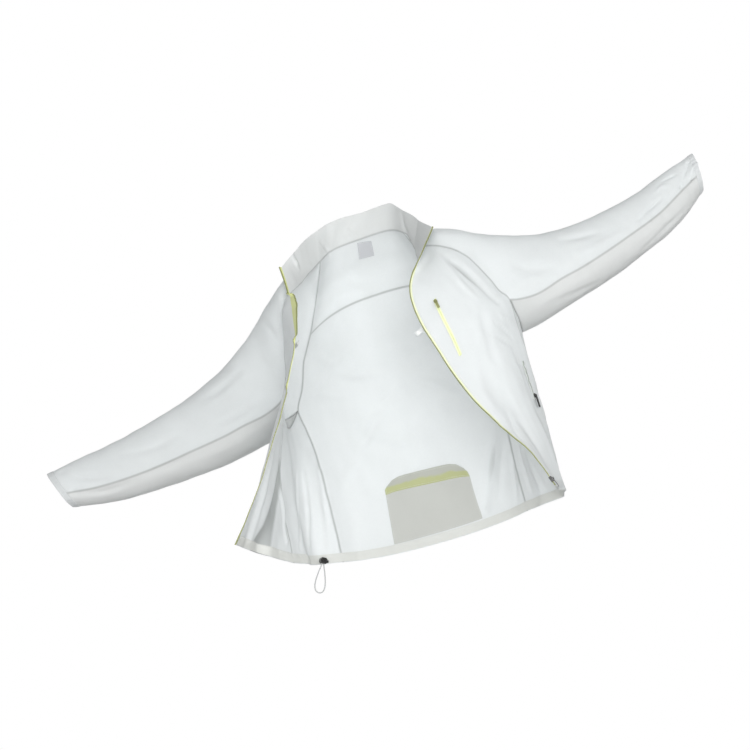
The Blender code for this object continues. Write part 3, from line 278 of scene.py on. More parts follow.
# Creases. Points are places on the panel as row and column, width is half of the crease's width,
# depth is outward, and start and end are the shares of the depth at its two ends
CREASE_COLUMNS = ("panel", "points", "width", "depth", "start", "end")
CREASES = [
    ("front_right", [(5.2, 0.5), (4.1, 1.3), (2.5, 3.3), (1.2, 4.4), (0.3, 4.9)], 0.030, 0.013, 0.1, 1),
    ("front_right", [(4.88, 6), (2.88, 6.25), (0.5, 6.38)], 0.011, -0.005, 0, 0.7),
    ("front_right", [(4.7, 0.5), (3.25, 0.5), (1, 0.6)], 0.007, -0.005, 0, 0.8),
    ("side_right", [(5.12, 3.5), (3.38, 2.88), (0.75, 1.38)], 0.0045, 0.004, 0, 0.6),
    ("side_right", [(5.12, 4.38), (3.12, 4.12), (0.88, 3.38)], 0.006, -0.004, 0, 0.6),
    ("side_right", [(5.5, 6), (3.25, 5.62), (0.88, 5.12)], 0.008, 0.003, 0, 0.5),
    ("back", [(3.88, 11.25), (2.38, 10.5), (0.75, 9.5)], 0.011, 0.007, 0, 0.8),
    ("back", [(3.12, 11.62), (2, 11), (0.88, 10.38)], 0.006, -0.004, 0, 0.6),
    ("back", [(2.38, 11.88), (1.62, 11.75), (0.62, 11.5)], 0.005, 0.004, 0, 0.8),
    ("side_left", [(2.88, 5.25), (1.88, 5.25), (0.75, 5.12)], 0.005, 0.004, 0, 0.8),
    ("side_left", [(2.38, 4.62), (1.5, 4.25), (0.62, 4)], 0.005, -0.003, 0, 0.8),
    ("side_left", [(1.75, 4), (1.12, 3.75), (0.5, 3.38)], 0.005, 0.003, 0, 0.7),
    ("back", [(11.12, 0), (9.5, 1.75), (8.62, 3.5)], 0.009, 0.003, 0, 0),
    ("back", [(9.62, 1), (8.5, 3.12), (7.75, 5.25)], 0.010, 0.003, 0, 0),
    ("back", [(8.62, 0.62), (7.75, 2.38), (7.38, 3.75)], 0.012, 0.002, 0, 0),
    ("back", [(6, 2.5), (4.88, 3.88), (4, 6.38)], 0.014, -0.002, 0, 0),
    ("back", [(3.12, 0.38), (4.25, 1.75), (5.25, 3.5)], 0.014, 0.002, 0.4, 0),
    ("yoke", [(1, 1.75), (0.75, 3.75), (0.25, 6.25)], 0.012, 0.0025, 0, 0),
    ("yoke", [(3.12, 2.88), (1.5, 4.12), (0.5, 5.5)], 0.010, -0.002, 0, 0),
    ("front_left", [(13.5, 1.38), (12.12, 1.88), (10.62, 1.62), (8.5, 1.5)], 0.012, -0.008, 0.2, 0.3),
    ("front_left", [(14.5, 1.5), (12.75, 3.12), (10.88, 3.25), (9.12, 2.88)], 0.009, 0.003, 0, 0),
    ("front_left", [(7.62, 3.38), (7.25, 2.62), (6.75, 1.62)], 0.0040, -0.0030, 0, 0.5),
    ("front_left", [(7.38, 4.38), (7, 3.5), (6.5, 2.25)], 0.0045, -0.0022, 0, 0.5),
    ("front_left", [(7.75, 2.38), (7.5, 1.75), (7.12, 0.75)], 0.0035, 0.0020, 0, 0.5),
    ("front_left", [(5.75, 2.62), (5.5, 1.75), (5.25, 0.75)], 0.0026, -0.0022, 0, 1),
    ("front_left", [(5.38, 3), (5.25, 2.12), (5, 1.12)], 0.0026, -0.0020, 0, 1),
    ("front_left", [(5.12, 3.25), (4.88, 2.38), (4.75, 1.38)], 0.0024, -0.0018, 0, 1),
    ("front_left", [(9.12, 3.25), (7.5, 4.38), (6.12, 5.12)], 0.012, -0.003, 0, 0),
    ("front_left", [(7.38, 6.5), (5.62, 7.62), (3.62, 9)], 0.016, 0.003, 0, 0),
    ("front_left", [(4.75, 5.88), (3.38, 7.75), (1.75, 9)], 0.010, -0.002, 0, 0),
    ("sleeve_upper_left", [(19.88, 7.5), (18.25, 9.62), (17.62, 0)], 0.0035, -0.0050, 0.6, 0.4),
    ("sleeve_upper_left", [(19.5, 10), (19.88, 0), (19, 0)], 0.0035, -0.0040, 1, 0),
    ("sleeve_upper_left", [(20, 8.62), (19.38, 9.5), (19.25, 0)], 0.0040, 0.0030, 1, 0),
    ("sleeve_upper_left", [(17.38, 7.25), (17.88, 7.62), (18.62, 7.88)], 0.0040, -0.0025, 0, 0),
    ("sleeve_upper_left", [(14.62, 9.38), (15.75, 9), (16.88, 9)], 0.0055, -0.0035, 0, 0.3),
    ("sleeve_upper_left", [(15.25, 0), (15.5, 10), (16.38, 10)], 0.0050, -0.0030, 0, 0),
    ("sleeve_upper_left", [(16.62, 8), (17.25, 7.88), (17.75, 8.75)], 0.0045, 0.0025, 0, 0),
    ("sleeve_upper_left", [(10.5, 7.5), (11.75, 7.88), (13, 8.5)], 0.010, -0.0035, 0, 0),
    ("sleeve_upper_left", [(11, 9.12), (12.38, 9.25), (14.12, 9.5)], 0.010, 0.0030, 0, 0),
    ("sleeve_upper_left", [(8, 8.25), (9, 8.75), (10, 9.25)], 0.012, -0.0030, 0, 0),
    ("sleeve_upper_left", [(8.12, 9.62), (8.62, 9.25), (9.5, 9.38)], 0.009, 0.0025, 0, 0),
    ("sleeve_under_left", [(1.12, 1), (2.25, 1.62), (4.25, 2.12)], 0.009, -0.0025, 0, 0),
    ("sleeve_under_left", [(6, 2), (7.62, 1.62), (9.88, 1.62)], 0.007, -0.0025, 0, 0.6),
    ("sleeve_upper_right", [(19.5, 7.12), (18.38, 8.88), (17.12, 9.5)], 0.009, -0.0040, 0.8, 0),
    ("sleeve_under_right", [(11.5, 0), (9.88, 0.62), (8.38, 0.62)], 0.007, -0.0035, 0.8, 0),
    ("sleeve_under_right", [(8.12, 0.12), (6.62, 0.25), (4.88, 0.25)], 0.007, -0.0025, 0, 0),
    ("sleeve_upper_right", [(16.62, 8), (15, 8.62), (13, 8.62)], 0.010, -0.0025, 0, 0),
    ("sleeve_upper_right", [(11.75, 7.38), (10.38, 7.5), (9, 7.5)], 0.011, -0.0030, 0, 0),
    ("sleeve_upper_right", [(11.38, 9.25), (10, 9.38), (8.88, 9.38)], 0.008, -0.0030, 0, 0.4),
    ("sleeve_upper_right", [(6.38, 6.5), (5.88, 8.25), (6, 9.62)], 0.010, -0.0030, 0, 0),
    ("collar", [(3, 6.38), (2.5, 6.88), (1.38, 8.62)], 0.006, -0.004, 0.4, 0.4),
    ("collar", [(1.88, 19.38), (1, 19.75), (0, 20.5)], 0.005, 0.003, 0, 0.6),
    ("collar", [(1.88, 22.38), (0.62, 23.75), (0, 24.25)], 0.007, -0.002, 0, 0),
    ("collar", [(2.38, 30.88), (0.88, 32.25), (0, 37.88)], 0.007, 0.003, 0.4, 0.4),
    ("back", [(4.5, 2.2), (6, 4), (7, 6)], 0.012, -0.004, 0, 0),
    ("back", [(5, 9.8), (6.5, 8), (7.2, 6.6)], 0.012, -0.004, 0, 0),
    ("back", [(2.5, 5), (4, 6), (5.5, 6.4)], 0.016, 0.003, 0, 0),
    ("back", [(8.5, 1), (9.5, 2.4), (10.2, 4.2)], 0.008, -0.003, 0.6, 0),
    ("back", [(8.5, 11), (9.4, 9.6), (10.1, 7.8)], 0.008, -0.003, 0.6, 0),
    ("sleeve_upper_right", [(9, 1), (11, 2.2), (13, 3.4)], 0.009, -0.003, 0, 0),
    ("sleeve_upper_right", [(13, 1.4), (15, 2.4), (17, 2.6)], 0.008, -0.003, 0, 0),
    ("sleeve_upper_right", [(6, 1.4), (8, 2.6), (9.5, 4)], 0.010, -0.0035, 0.3, 0),
    ("sleeve_upper_left", [(6, 1.6), (8, 2.6), (10, 3.8)], 0.010, -0.0035, 0.3, 0),
    ("sleeve_upper_left", [(11, 1.2), (13, 2.4), (15, 3)], 0.009, -0.003, 0, 0),
    ("sleeve_upper_left", [(16, 1.2), (18, 2.2), (19.6, 2)], 0.006, -0.003, 0, 0.8),
    ("sleeve_under_right", [(2, 4.4), (4, 4), (6, 4.4)], 0.008, -0.0025, 0, 0),
    ("sleeve_under_left", [(2, 4.6), (4, 4.2), (6, 4.6)], 0.008, -0.0025, 0, 0),
]


def smooth(rows, steps, even_knots=False):
    """A smooth curve or surface through the given rows, with steps[i] of them from row i to i + 1."""
    rows = np.array(rows, float)
    moves = np.diff(rows, axis=0)
    if even_knots:
        lengths = np.ones(len(moves))
    else:
        lengths = np.linalg.norm(moves, axis=-1).reshape(len(moves), -1).mean(axis=1)
    speeds = moves / lengths.reshape((-1,) + (1,) * (rows.ndim - 1))
    slopes = [speeds[0]]
    for before, after, first, second in zip(speeds, speeds[1:], lengths, lengths[1:]):
        slopes.append((before * second + after * first) / (first + second))
    slopes.append(speeds[-1])
    made = [rows[0]]
    for i, count in enumerate(steps):
        for k in range(1, count + 1):
            t = k / count
            start = (1 + 2 * t) * (1 - t) ** 2 * rows[i] + t * t * (3 - 2 * t) * rows[i + 1]
            ends = t * (1 - t) ** 2 * slopes[i] - t * t * (1 - t) * slopes[i + 1]
            made.append(start + ends * lengths[i])
    return np.array(made)


def run(points):
    """Length along a line of points, from its first to each."""
    return np.concatenate([[0], np.cumsum(np.linalg.norm(np.diff(points, axis=0), axis=1))])


def down_lengths(grid):
    """Length along each column of a grid, from its first row to each point."""
    steps = np.linalg.norm(np.diff(grid, axis=0), axis=-1)
    return np.concatenate([np.zeros((1, steps.shape[1])), np.cumsum(steps, axis=0)])


def unit(directions):
    return directions / np.linalg.norm(directions, axis=-1, keepdims=True)


def along(points, shares):
    """Points at the given shares of the length of a smooth curve through the points."""
    fine = smooth(points, [24] * (len(points) - 1))
    lengths = run(fine)
    stops = np.array(shares) * lengths[-1]
    return np.stack([np.interp(stops, lengths, fine[:, k]) for k in range(3)], axis=1)


def half_ring(start, over, end, count):
    """Half an ellipse from start to end that passes through over."""
    start, over, end = (np.array(p, float) for p in (start, over, end))
    middle = (start + end) / 2
    turns = np.linspace(0, math.pi, count + 1)[:, None]
    return middle + np.cos(turns) * (start - middle) + np.sin(turns) * (over - middle)


def scoop(start, low, end, count):
    """A curve from start to end with its middle at low, less steep at its ends than half an ellipse."""
    start, low, end = (np.array(p, float) for p in (start, low, end))
    shares = np.linspace(0, 1, count + 1)[:, None]
    return start + shares * (end - start) + (1 - abs(2 * shares - 1) ** 2.2) * (low - (start + end) / 2)


def sleeve_grids(shoulder, armpit, arm, arm_steps):
    """Grids of the upper sleeve, neck to cuff and back seam to front seam, and of the under sleeve."""
    upper = [half_ring(back, top, front, OVER_STEPS) for front, top, back in shoulder]
    front, top, back = shoulder[0]
    upper[0] = scoop(back, top, front, OVER_STEPS)
    front, top, back = shoulder[-1]
    under = [scoop(front, armpit, back, UNDER_STEPS)]
    for row in arm:
        section = dict(zip(ARM_COLUMNS, row))
        top = np.array((section["top_x"], section["y"], section["top_z"]))
        bottom = np.array((section["bottom_x"], section["y"], section["bottom_z"]))
        seam = top + section["seam_share"] * (bottom - top)
        depth = np.array((0, section["half_depth"], 0))
        upper.append(half_ring(seam + depth, top, seam - depth, OVER_STEPS))
        under.append(half_ring(seam - depth, bottom, seam + depth, UNDER_STEPS))
    upper = smooth(upper, SHOULDER_STEPS + arm_steps)
    under = smooth(under, arm_steps)
    below = upper[sum(SHOULDER_STEPS):]
    for side, target in ((0, below[:, -1]), (UNDER_STEPS, below[:, 0])):
        missing = target - under[:, side]
        for column in range(UNDER_STEPS + 1):
            under[:, column] += missing * (1 - abs(column - side) / UNDER_STEPS) ** 3
        under[:, side] = target
    return upper, under


def back_grid(right_edge, left_edge):
    shape = smooth(list(BACK_ROWS.values()), BACK_SPANS, even_knots=True)
    rows = []
    for start, end, (depth, rise, fullness) in zip(right_edge, left_edge, shape):
        shares = np.linspace(0, 1, 13)[:, None]
        swell = 1 - abs(2 * shares - 1) ** fullness
        rows.append(start + shares * (end - start) + swell * np.array((0, depth, rise)))
    rows = np.array(rows)
    rows[:, 0] = right_edge
    rows[:, -1] = left_edge
    return rows


def front_grid(seam_edge, zip_edge, swell):
    """Grid of a front from its seam edge to its zip edge."""
    shape = smooth(swell, SWELL_SPANS, even_knots=True)
    shares = np.linspace(0, 1, FRONT_COLUMNS + 1)[:, None]
    rows = []
    for start, end, bulge in zip(seam_edge, zip_edge, shape):
        rows.append(start + shares * (end - start) + np.sin(math.pi * shares) * bulge)
    rows = np.array(rows)
    rows[:, 0] = seam_edge
    rows[:, -1] = zip_edge
    return rows


def side_grid(front_seam, back_seam, arc, swell):
    """Grid of a side panel, hem to armpit, whose top row is the scooped arc under the arm."""
    shares = np.linspace(0, 1, UNDER_STEPS + 1)[:, None]
    swell = np.sin(math.pi * shares) * np.array(swell)
    dip = arc - (front_seam[-1] + shares * (back_seam[-1] - front_seam[-1]))
    rows = []
    for i, (a, b) in enumerate(zip(front_seam, back_seam)):
        part = (i / LOW_ROWS) ** 2.5
        rows.append(a + shares * (b - a) + (1 - part) * swell + part * dip)
    rows = np.array(rows)
    rows[:, 0] = front_seam
    rows[:, -1] = back_seam
    rows[-1] = arc
    return rows


def grid_normals(grid, flip):
    """Outward direction at each point of a grid."""
    up = np.gradient(grid, axis=0)
    across = np.gradient(grid, axis=1)
    return unit(np.cross(across, up) * (-1 if flip else 1))


def folded(grid, flip, folds):
    """The grid with each fold pushed out along the panel's normals. Its edges stay where they are."""
    normals = grid_normals(grid, flip)
    last_row, last_column = len(grid) - 1, grid.shape[1] - 1
    push = np.zeros(grid.shape[:2])
    for row in folds:
        fold = dict(zip(FOLD_COLUMNS, row))
        for i in range(last_row + 1):
            fade = min(max((fold["to_row"] - i) / (fold["to_row"] - fold["from_row"]), 0), 1)
            for j in range(last_column + 1):
                place = (j / last_column - fold["across"] - fold["lean"] * i) / fold["half_width"]
                push[i, j] += fold["depth"] * math.sin(fade * math.pi / 2) * math.exp(-place * place)
    push[:, [0, -1]] = 0
    if last_row == LOW_ROWS:
        push[-1] = 0
    return grid + normals * push[..., None]


def key(point):
    return tuple(np.round(point * 1e6).astype(int))


def border(grid):
    """The places on the rim of a grid, as pairs of row and column, in order round it."""
    rows, columns = grid.shape[0] - 1, grid.shape[1] - 1
    places = [(0, j) for j in range(columns)] + [(i, columns) for i in range(rows)]
    return places + [(rows, j) for j in range(columns, 0, -1)] + [(i, 0) for i in range(rows, 0, -1)]


def on_grid(grid, row, column):
    """Point of a grid at a row and column that needn't be whole numbers."""
    i = min(max(int(row), 0), grid.shape[0] - 2)
    j = min(max(int(column), 0), grid.shape[1] - 2)
    a, b = row - i, column - j
    start, far = grid[i, j], grid[i + 1, j + 1]
    if a < b:
        return start + b * (grid[i, j + 1] - start) + a * (far - grid[i, j + 1])
    return start + a * (grid[i + 1, j] - start) + b * (far - grid[i + 1, j])


def build_panels():
    upper_right, under_right = sleeve_grids(SHOULDER_RIGHT, ARMPIT_RIGHT, ARM_RIGHT, ARM_STEPS_RIGHT)
    upper_left, under_left = sleeve_grids(SHOULDER_LEFT, ARMPIT_LEFT, ARM_LEFT, ARM_STEPS_LEFT)
    low = np.linspace(0, 1, LOW_ROWS + 1)
    zip_shares = list(low * ARMPIT_SHARE) + list(np.linspace(ARMPIT_SHARE, 1, HIGH_ROWS + 1)[1:])

    def edges(seam, junction, raglan):
        lower = along(seam + [tuple(junction)], low)
        lower[-1] = junction
        return np.concatenate([lower, raglan[:HIGH_ROWS][::-1]])

    back_right = edges(BACK_SEAM_RIGHT, upper_right[HIGH_ROWS, 0], upper_right[:, 0])
    back_left = edges(BACK_SEAM_LEFT, upper_left[HIGH_ROWS, 0], upper_left[:, 0])
    front_right = edges(FRONT_SEAM_RIGHT, upper_right[HIGH_ROWS, -1], upper_right[:, -1])
    front_left = edges(FRONT_SEAM_LEFT, upper_left[HIGH_ROWS, -1], upper_left[:, -1])
    whole_back = back_grid(back_right, back_left)
    whole_back = folded(whole_back, True, FOLDS["back"])
    seam_row = LOW_ROWS + YOKE_ROW
    right_seams = (front_right[: LOW_ROWS + 1], back_right[: LOW_ROWS + 1])
    left_seams = (front_left[: LOW_ROWS + 1], back_left[: LOW_ROWS + 1])
    grids = {
        "back": whole_back[: seam_row + 1],
        "yoke": whole_back[seam_row:],
        "front_right": front_grid(front_right, along(EDGE_RIGHT, zip_shares), FRONT_SWELL_RIGHT),
        "front_left": front_grid(front_left, along(EDGE_LEFT, zip_shares), FRONT_SWELL_LEFT),
        "side_right": side_grid(*right_seams, under_right[0], SIDE_SWELL_RIGHT),
        "side_left": side_grid(*left_seams, under_left[0], SIDE_SWELL_LEFT),
        "sleeve_upper_right": upper_right,
        "sleeve_under_right": under_right,
        "sleeve_upper_left": upper_left,
        "sleeve_under_left": under_left,
    }
    for name in ("front_right", "front_left", "side_right", "side_left"):
        grids[name] = folded(grids[name], name in FLIPPED, FOLDS[name])
    parts = [
        grids["front_right"][-1][::-1],
        upper_right[0][::-1],
        whole_back[-1],
        upper_left[0],
        grids["front_left"][-1],
    ]
    loop = np.concatenate([parts[0]] + [part[1:] for part in parts[1:]])
    ends = [int(n) for n in np.cumsum([0] + [len(part) - 1 for part in parts])]
    corners = [ends[2] + CORNER_COLUMN, (ends[2] + ends[3]) // 2, ends[3] - CORNER_COLUMN]
    stations = ends[:3] + corners + ends[3:]
    rise = [np.array(top) - loop[station] for top, station in zip(COLLAR_TOP.values(), stations)]
    rise = smooth(rise, np.diff(stations), even_knots=True)
    grids["collar"] = np.array([loop + rise * k / COLLAR_ROWS for k in range(COLLAR_ROWS + 1)])
    return grids


def line_places(lines, count):
    """Places of a piece on a panel, a line of them for each row of its table."""
    places = []
    for row in lines:
        line = dict(zip(LINE_COLUMNS, row))
        made = []
        for share in np.linspace(0, 1, count):
            climb = line["start_row"] + share * (line["end_row"] - line["start_row"])
            bow = line["bow"] * (1 - (2 * share - 1) ** 6)
            column = line["start_column"] + share * (line["end_column"] - line["start_column"])
            made.append((climb + bow, column))
        places.append(made)
    return places


def frame_on(grid, normals, row, column, side, towards):
    """Origin on the panel's surface, and unit axes across, towards another place, and off the cloth."""
    origin = on_grid(grid, row, column)
    away = on_grid(normals, row, column)
    away = away / np.linalg.norm(away) * side
    ahead = on_grid(grid, *towards) - origin
    ahead = ahead - (ahead @ away) * away
    ahead = ahead / np.linalg.norm(ahead)
    return origin + away * (CLOTH / 2), np.cross(ahead, away), ahead, away


def placed(frame, points):
    origin, across, ahead, away = frame
    return [origin + p[0] * across + p[1] * ahead + p[2] * away for p in points]


def refined(grid):
    """The grid with FINE steps in each cell, smooth through its points."""
    for turn in range(2):
        grid = smooth(grid, [FINE] * (len(grid) - 1), even_knots=True)
        grid = np.swapaxes(grid, 0, 1)
    return grid.copy()


def snap(grid, side, target):
    """Moves a stretch of one side of a grid onto target, and what lies behind it less and less."""
    view = grid if "row" in side else grid.swapaxes(0, 1)
    if "last" in side:
        view = view[::-1]
    reach, count = 2 * FINE, len(target)
    missing = target - view[0, :count]
    for step in range(min(reach, len(view))):
        view[step, :count] += missing * (1 - step / reach) ** 2


def fine_panels(grids):
    """Every panel refined, with the sides of neighbours equal."""
    fine = {name: refined(grid) for name, grid in grids.items()}
    whole = refined(np.concatenate([grids["back"], grids["yoke"][1:]]))
    seam = (len(grids["back"]) - 1) * FINE
    low, high = LOW_ROWS * FINE, HIGH_ROWS * FINE
    for side in ("right", "left"):
        front_edge = fine["front_" + side][:, 0]
        back_edge = whole[:, 0] if side == "right" else whole[:, -1]
        panel, upper = fine["side_" + side], fine["sleeve_upper_" + side]
        under = fine["sleeve_under_" + side]
        snap(panel, "first column", front_edge[: low + 1])
        snap(panel, "last column", back_edge[: low + 1])
        snap(upper, "first column", back_edge[low:][::-1])
        snap(upper, "last column", front_edge[low:][::-1])
        snap(under, "first column", upper[high:, -1])
        snap(under, "last column", upper[high:, 0])
        snap(under, "first row", panel[-1])
    fine["back"], fine["yoke"] = whole[: seam + 1], whole[seam:]
    snap(fine["collar"], "first row", neck_line(fine))
    return fine


def neck_line(fine):
    parts = [fine["front_right"][-1][::-1], fine["sleeve_upper_right"][0][::-1], fine["yoke"][-1]]
    parts += [fine["sleeve_upper_left"][0], fine["front_left"][-1]]
    return np.concatenate([parts[0]] + [part[1:] for part in parts[1:]])


def common_normals(fine):
    """Outward directions of every panel, the same for all panels that meet at a point."""
    normals = {name: grid_normals(grid, name in FLIPPED) for name, grid in fine.items()}
    met = {}
    for name, grid in fine.items():
        for place in border(grid):
            met.setdefault(key(grid[place]), []).append((name, place))
    for meeting in met.values():
        shared = sum(normals[name][place] for name, place in meeting)
        shared = shared / np.linalg.norm(shared)
        for name, place in meeting:
            normals[name][place] = shared
    return normals


def waves(points, height, length, seed):
    """Soft uneven bumps of about that length, up and down by height, as a function of place in the room."""
    draw = np.random.default_rng(seed)
    total = np.zeros(points.shape[:-1])
    for turn in range(28):
        way = draw.normal(size=3)
        way *= 2 * math.pi / length / math.sqrt(3) * draw.uniform(0.7, 1.3)
        total += np.sin(points @ way + draw.uniform(0, 2 * math.pi))
    return height * np.clip(total / 7, -1, 1)


def crease_push(points, line, crease):
    """How far a crease pushes each point out: a soft trough or ridge with lower lips beside it."""
    low, high = line.min(axis=0) - 3 * crease["width"], line.max(axis=0) + 3 * crease["width"]
    inside = np.all((points > low) & (points < high), axis=-1)
    push = np.zeros(points.shape[:-1])
    if not inside.any():
        return push
    near = points[inside]
    steps = np.diff(line, axis=0)
    lengths = np.linalg.norm(steps, axis=1)
    best, place = np.full(len(near), np.inf), np.zeros(len(near))
    for k, step in enumerate(steps):
        share = np.clip((near - line[k]) @ step / lengths[k] ** 2, 0, 1)
        away = np.linalg.norm(near - line[k] - share[:, None] * step, axis=1)
        closer = away < best
        best[closer] = away[closer]
        place[closer] = (k + share[closer]) / len(steps)
    body = np.sin(math.pi * np.clip(place, 0, 1)) ** 0.7
    ends = crease["start"] * (1 - place) ** 2 + crease["end"] * place**2
    along_line = np.maximum(body, ends) * (1 + 0.25 * np.sin(9 * place + 40 * crease["width"] * 9))
    across = best / crease["width"]
    push[inside] = crease["depth"] * along_line * (1 - 0.5 * across**2) * np.exp(-(across**2))
    return push


def seam_distance(grid, sides):
    """Distance along the cloth from each point to the nearest of the named sides."""
    down, across = down_lengths(grid), down_lengths(grid.swapaxes(0, 1)).T
    found = {"first row": down, "last row": down[-1] - down, "first column": across,
             "last column": across[:, -1:] - across}
    return np.min([found[side] for side in sides], axis=0)


def draped(fine):
    """The refined panels with creases, soft waves and seam pucker, and the painted shade of each crease."""
    normals = common_normals(fine)
    lines = []
    for row in CREASES:
        crease = dict(zip(CREASE_COLUMNS, row))
        grid = fine[crease["panel"]]
        spots = [on_grid(grid, i * FINE, j * FINE) for i, j in crease["points"]]
        lines.append((along(spots, np.linspace(0, 1, 24)), crease))
    moved, painted_fold_shade = {}, {}
    for name, grid in fine.items():
        push = waves(grid, *BROAD_WAVES) + waves(grid, *SMALL_WAVES)
        near = np.exp(-((seam_distance(grid, SEAMS[kind(name)]) / PUCKER_REACH) ** 2))
        push += near * (waves(grid, *PUCKER) - PUCKER[0] / 2)
        painted_fold_shade[name] = np.zeros(push.shape)
        for line, crease in lines:
            pushed = crease_push(grid, line, crease)
            # painted shade: the deeper the crease, the darker its colour, and broad creases three times as
            # dark
            broad = 3 if crease["width"] > BROAD_CREASE else 1
            painted_fold_shade[name] = np.maximum(painted_fold_shade[name], np.abs(pushed) * broad)
            push += pushed
        moved[name] = grid + normals[name] * push[..., None]
    return moved, painted_fold_shade


def arc_coordinates(grid):
    """Metres along and across the cloth at each point, for the weave."""
    down, across = down_lengths(grid).mean(axis=1), down_lengths(grid.swapaxes(0, 1)).mean(axis=1)
    return np.stack(np.meshgrid(across, down), axis=-1)


def shell(name, grid, normals, finish, wall=SHELL, closed_round=False, cloth=None, **measures):
    """Closed thin cloth on a grid of points, in quads, with its weave coordinates and named measures."""
    rows, columns = grid.shape[:2]
    count = rows * columns
    half = normals * wall / 2
    points = np.concatenate([(grid + half).reshape(-1, 3), (grid - half).reshape(-1, 3)])
    index = np.arange(count).reshape(rows, columns)
    if closed_round:
        index = np.concatenate([index, index[:, :1]], axis=1)
    a, b = index[:-1, :-1].ravel(), index[:-1, 1:].ravel()
    c, d = index[1:, 1:].ravel(), index[1:, :-1].ravel()
    facing = np.cross(grid[0, 1] - grid[0, 0], grid[1, 0] - grid[0, 0]) @ normals[0, 0]
    quads = np.stack([a, b, c, d], axis=1)
    if facing < 0:
        quads = quads[:, ::-1]
    rim = [index[0], index[-1][::-1]]
    if not closed_round:
        rim += [index[:, -1], index[:, 0][::-1]]
    sides = []
    for line in rim:
        sides.append(np.stack([line[1:], line[:-1], line[:-1] + count, line[1:] + count], axis=1))
    sides = np.concatenate(sides)
    if facing < 0:
        sides = sides[:, ::-1]
    faces = np.concatenate([quads, quads[:, ::-1] + count, sides])
    made = cloth_object(name, points, faces, finish)
    if cloth is None:
        cloth = arc_coordinates(grid)
    flat = np.concatenate([cloth.reshape(-1, 2)] * 2)
    layer = made.data.uv_layers.new(name="cloth")
    corners = np.zeros(len(made.data.loops), np.int32)
    made.data.loops.foreach_get("vertex_index", corners)
    layer.data.foreach_set("uv", (flat[corners] * 10).astype(np.float32).ravel())
    for measure, values in measures.items():
        attribute = made.data.attributes.new(measure, "FLOAT", "POINT")
        attribute.data.foreach_set("value", np.concatenate([values.ravel()] * 2).astype(np.float32))
    return made


def cloth_object(name, points, faces, finish, sharp=60):
    mesh = bpy.data.meshes.new(name)
    mesh.from_pydata(np.asarray(points, float).tolist(), [], [[int(c) for c in f] for f in faces])
    mesh.update()
    mesh.polygons.foreach_set("use_smooth", [True] * len(mesh.polygons))
    mesh.set_sharp_from_angle(angle=math.radians(sharp))
    made = bpy.data.objects.new(name, mesh)
    bpy.context.scene.collection.objects.link(made)
    made.data.materials.append(finish)
    return made


def held(made, node):
    """The piece rides on the jacket and may stand for a node of the part, which is then hidden."""
    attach(made, "jacket")
    if node:
        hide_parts(node)


def add(tree, kind, **settings):
    made = tree.nodes.new(kind)
    for name, value in settings.items():
        setattr(made, name, value)
    return made


def arithmetic(tree, operation, first, second=None):
    made = add(tree, "ShaderNodeMath", operation=operation)
    for socket, value in zip(made.inputs, (first, second)):
        if value is None:
            continue
        if isinstance(value, bpy.types.NodeSocket):
            tree.links.new(value, socket)
        else:
            socket.default_value = value
    return made.outputs[0]


def spread(tree, value, from_low, from_high, to_low, to_high):
    made = add(tree, "ShaderNodeMapRange", clamp=True)
    tree.links.new(value, made.inputs["Value"])
    numbers = {"From Min": from_low, "From Max": from_high, "To Min": to_low, "To Max": to_high}
    for name, number in numbers.items():
        made.inputs[name].default_value = number
    return made.outputs["Result"]


def new_material(name):
    """A material, its tree of nodes and its Principled shader."""
    made = bpy.data.materials.new(name)
    made.use_nodes = True
    return made, made.node_tree, made.node_tree.nodes["Principled BSDF"]


def mix(tree, factor, first, second):
    """The colour from first to second by a factor. Each is a colour or a socket."""
    made = add(tree, "ShaderNodeMix", data_type="RGBA", clamp_factor=True)
    tree.links.new(factor, made.inputs[0])
    for place, colour in ((6, first), (7, second)):
        if isinstance(colour, bpy.types.NodeSocket):
            tree.links.new(colour, made.inputs[place])
        else:
            made.inputs[place].default_value = (*colour, 1)
    return made.outputs[2]


def bumped(tree, shader, height, distance, strength):
    """The shader's normal, tipped by a height, and the socket that it comes from."""
    bump = add(tree, "ShaderNodeBump")
    bump.inputs["Distance"].default_value = distance
    bump.inputs["Strength"].default_value = strength
    tree.links.new(height, bump.inputs["Height"])
    tree.links.new(bump.outputs["Normal"], shader.inputs["Normal"])
    return bump.outputs["Normal"]


def noise(tree, scale, detail=3.0):
    coordinates = add(tree, "ShaderNodeTexCoord")
    made = add(tree, "ShaderNodeTexNoise")
    made.inputs["Scale"].default_value = scale
    made.inputs["Detail"].default_value = detail
    tree.links.new(coordinates.outputs["Object"], made.inputs["Vector"])
    return made.outputs["Fac"]


def thread_wave(tree, direction, period, skew=0.0):
    """Ridges of thread across the cloth, from 0 to 1."""
    place = add(tree, "ShaderNodeUVMap", uv_map="cloth")
    made = add(tree, "ShaderNodeTexWave", wave_type="BANDS", bands_direction=direction, wave_profile="SIN")
    made.inputs["Scale"].default_value = 2 * math.pi / 20 / (period * 10)
    made.inputs["Distortion"].default_value = skew
    made.inputs["Detail"].default_value = 1.0
    made.inputs["Detail Scale"].default_value = 0.5
    tree.links.new(place.outputs["UV"], made.inputs["Vector"])
    return made.outputs["Fac"]


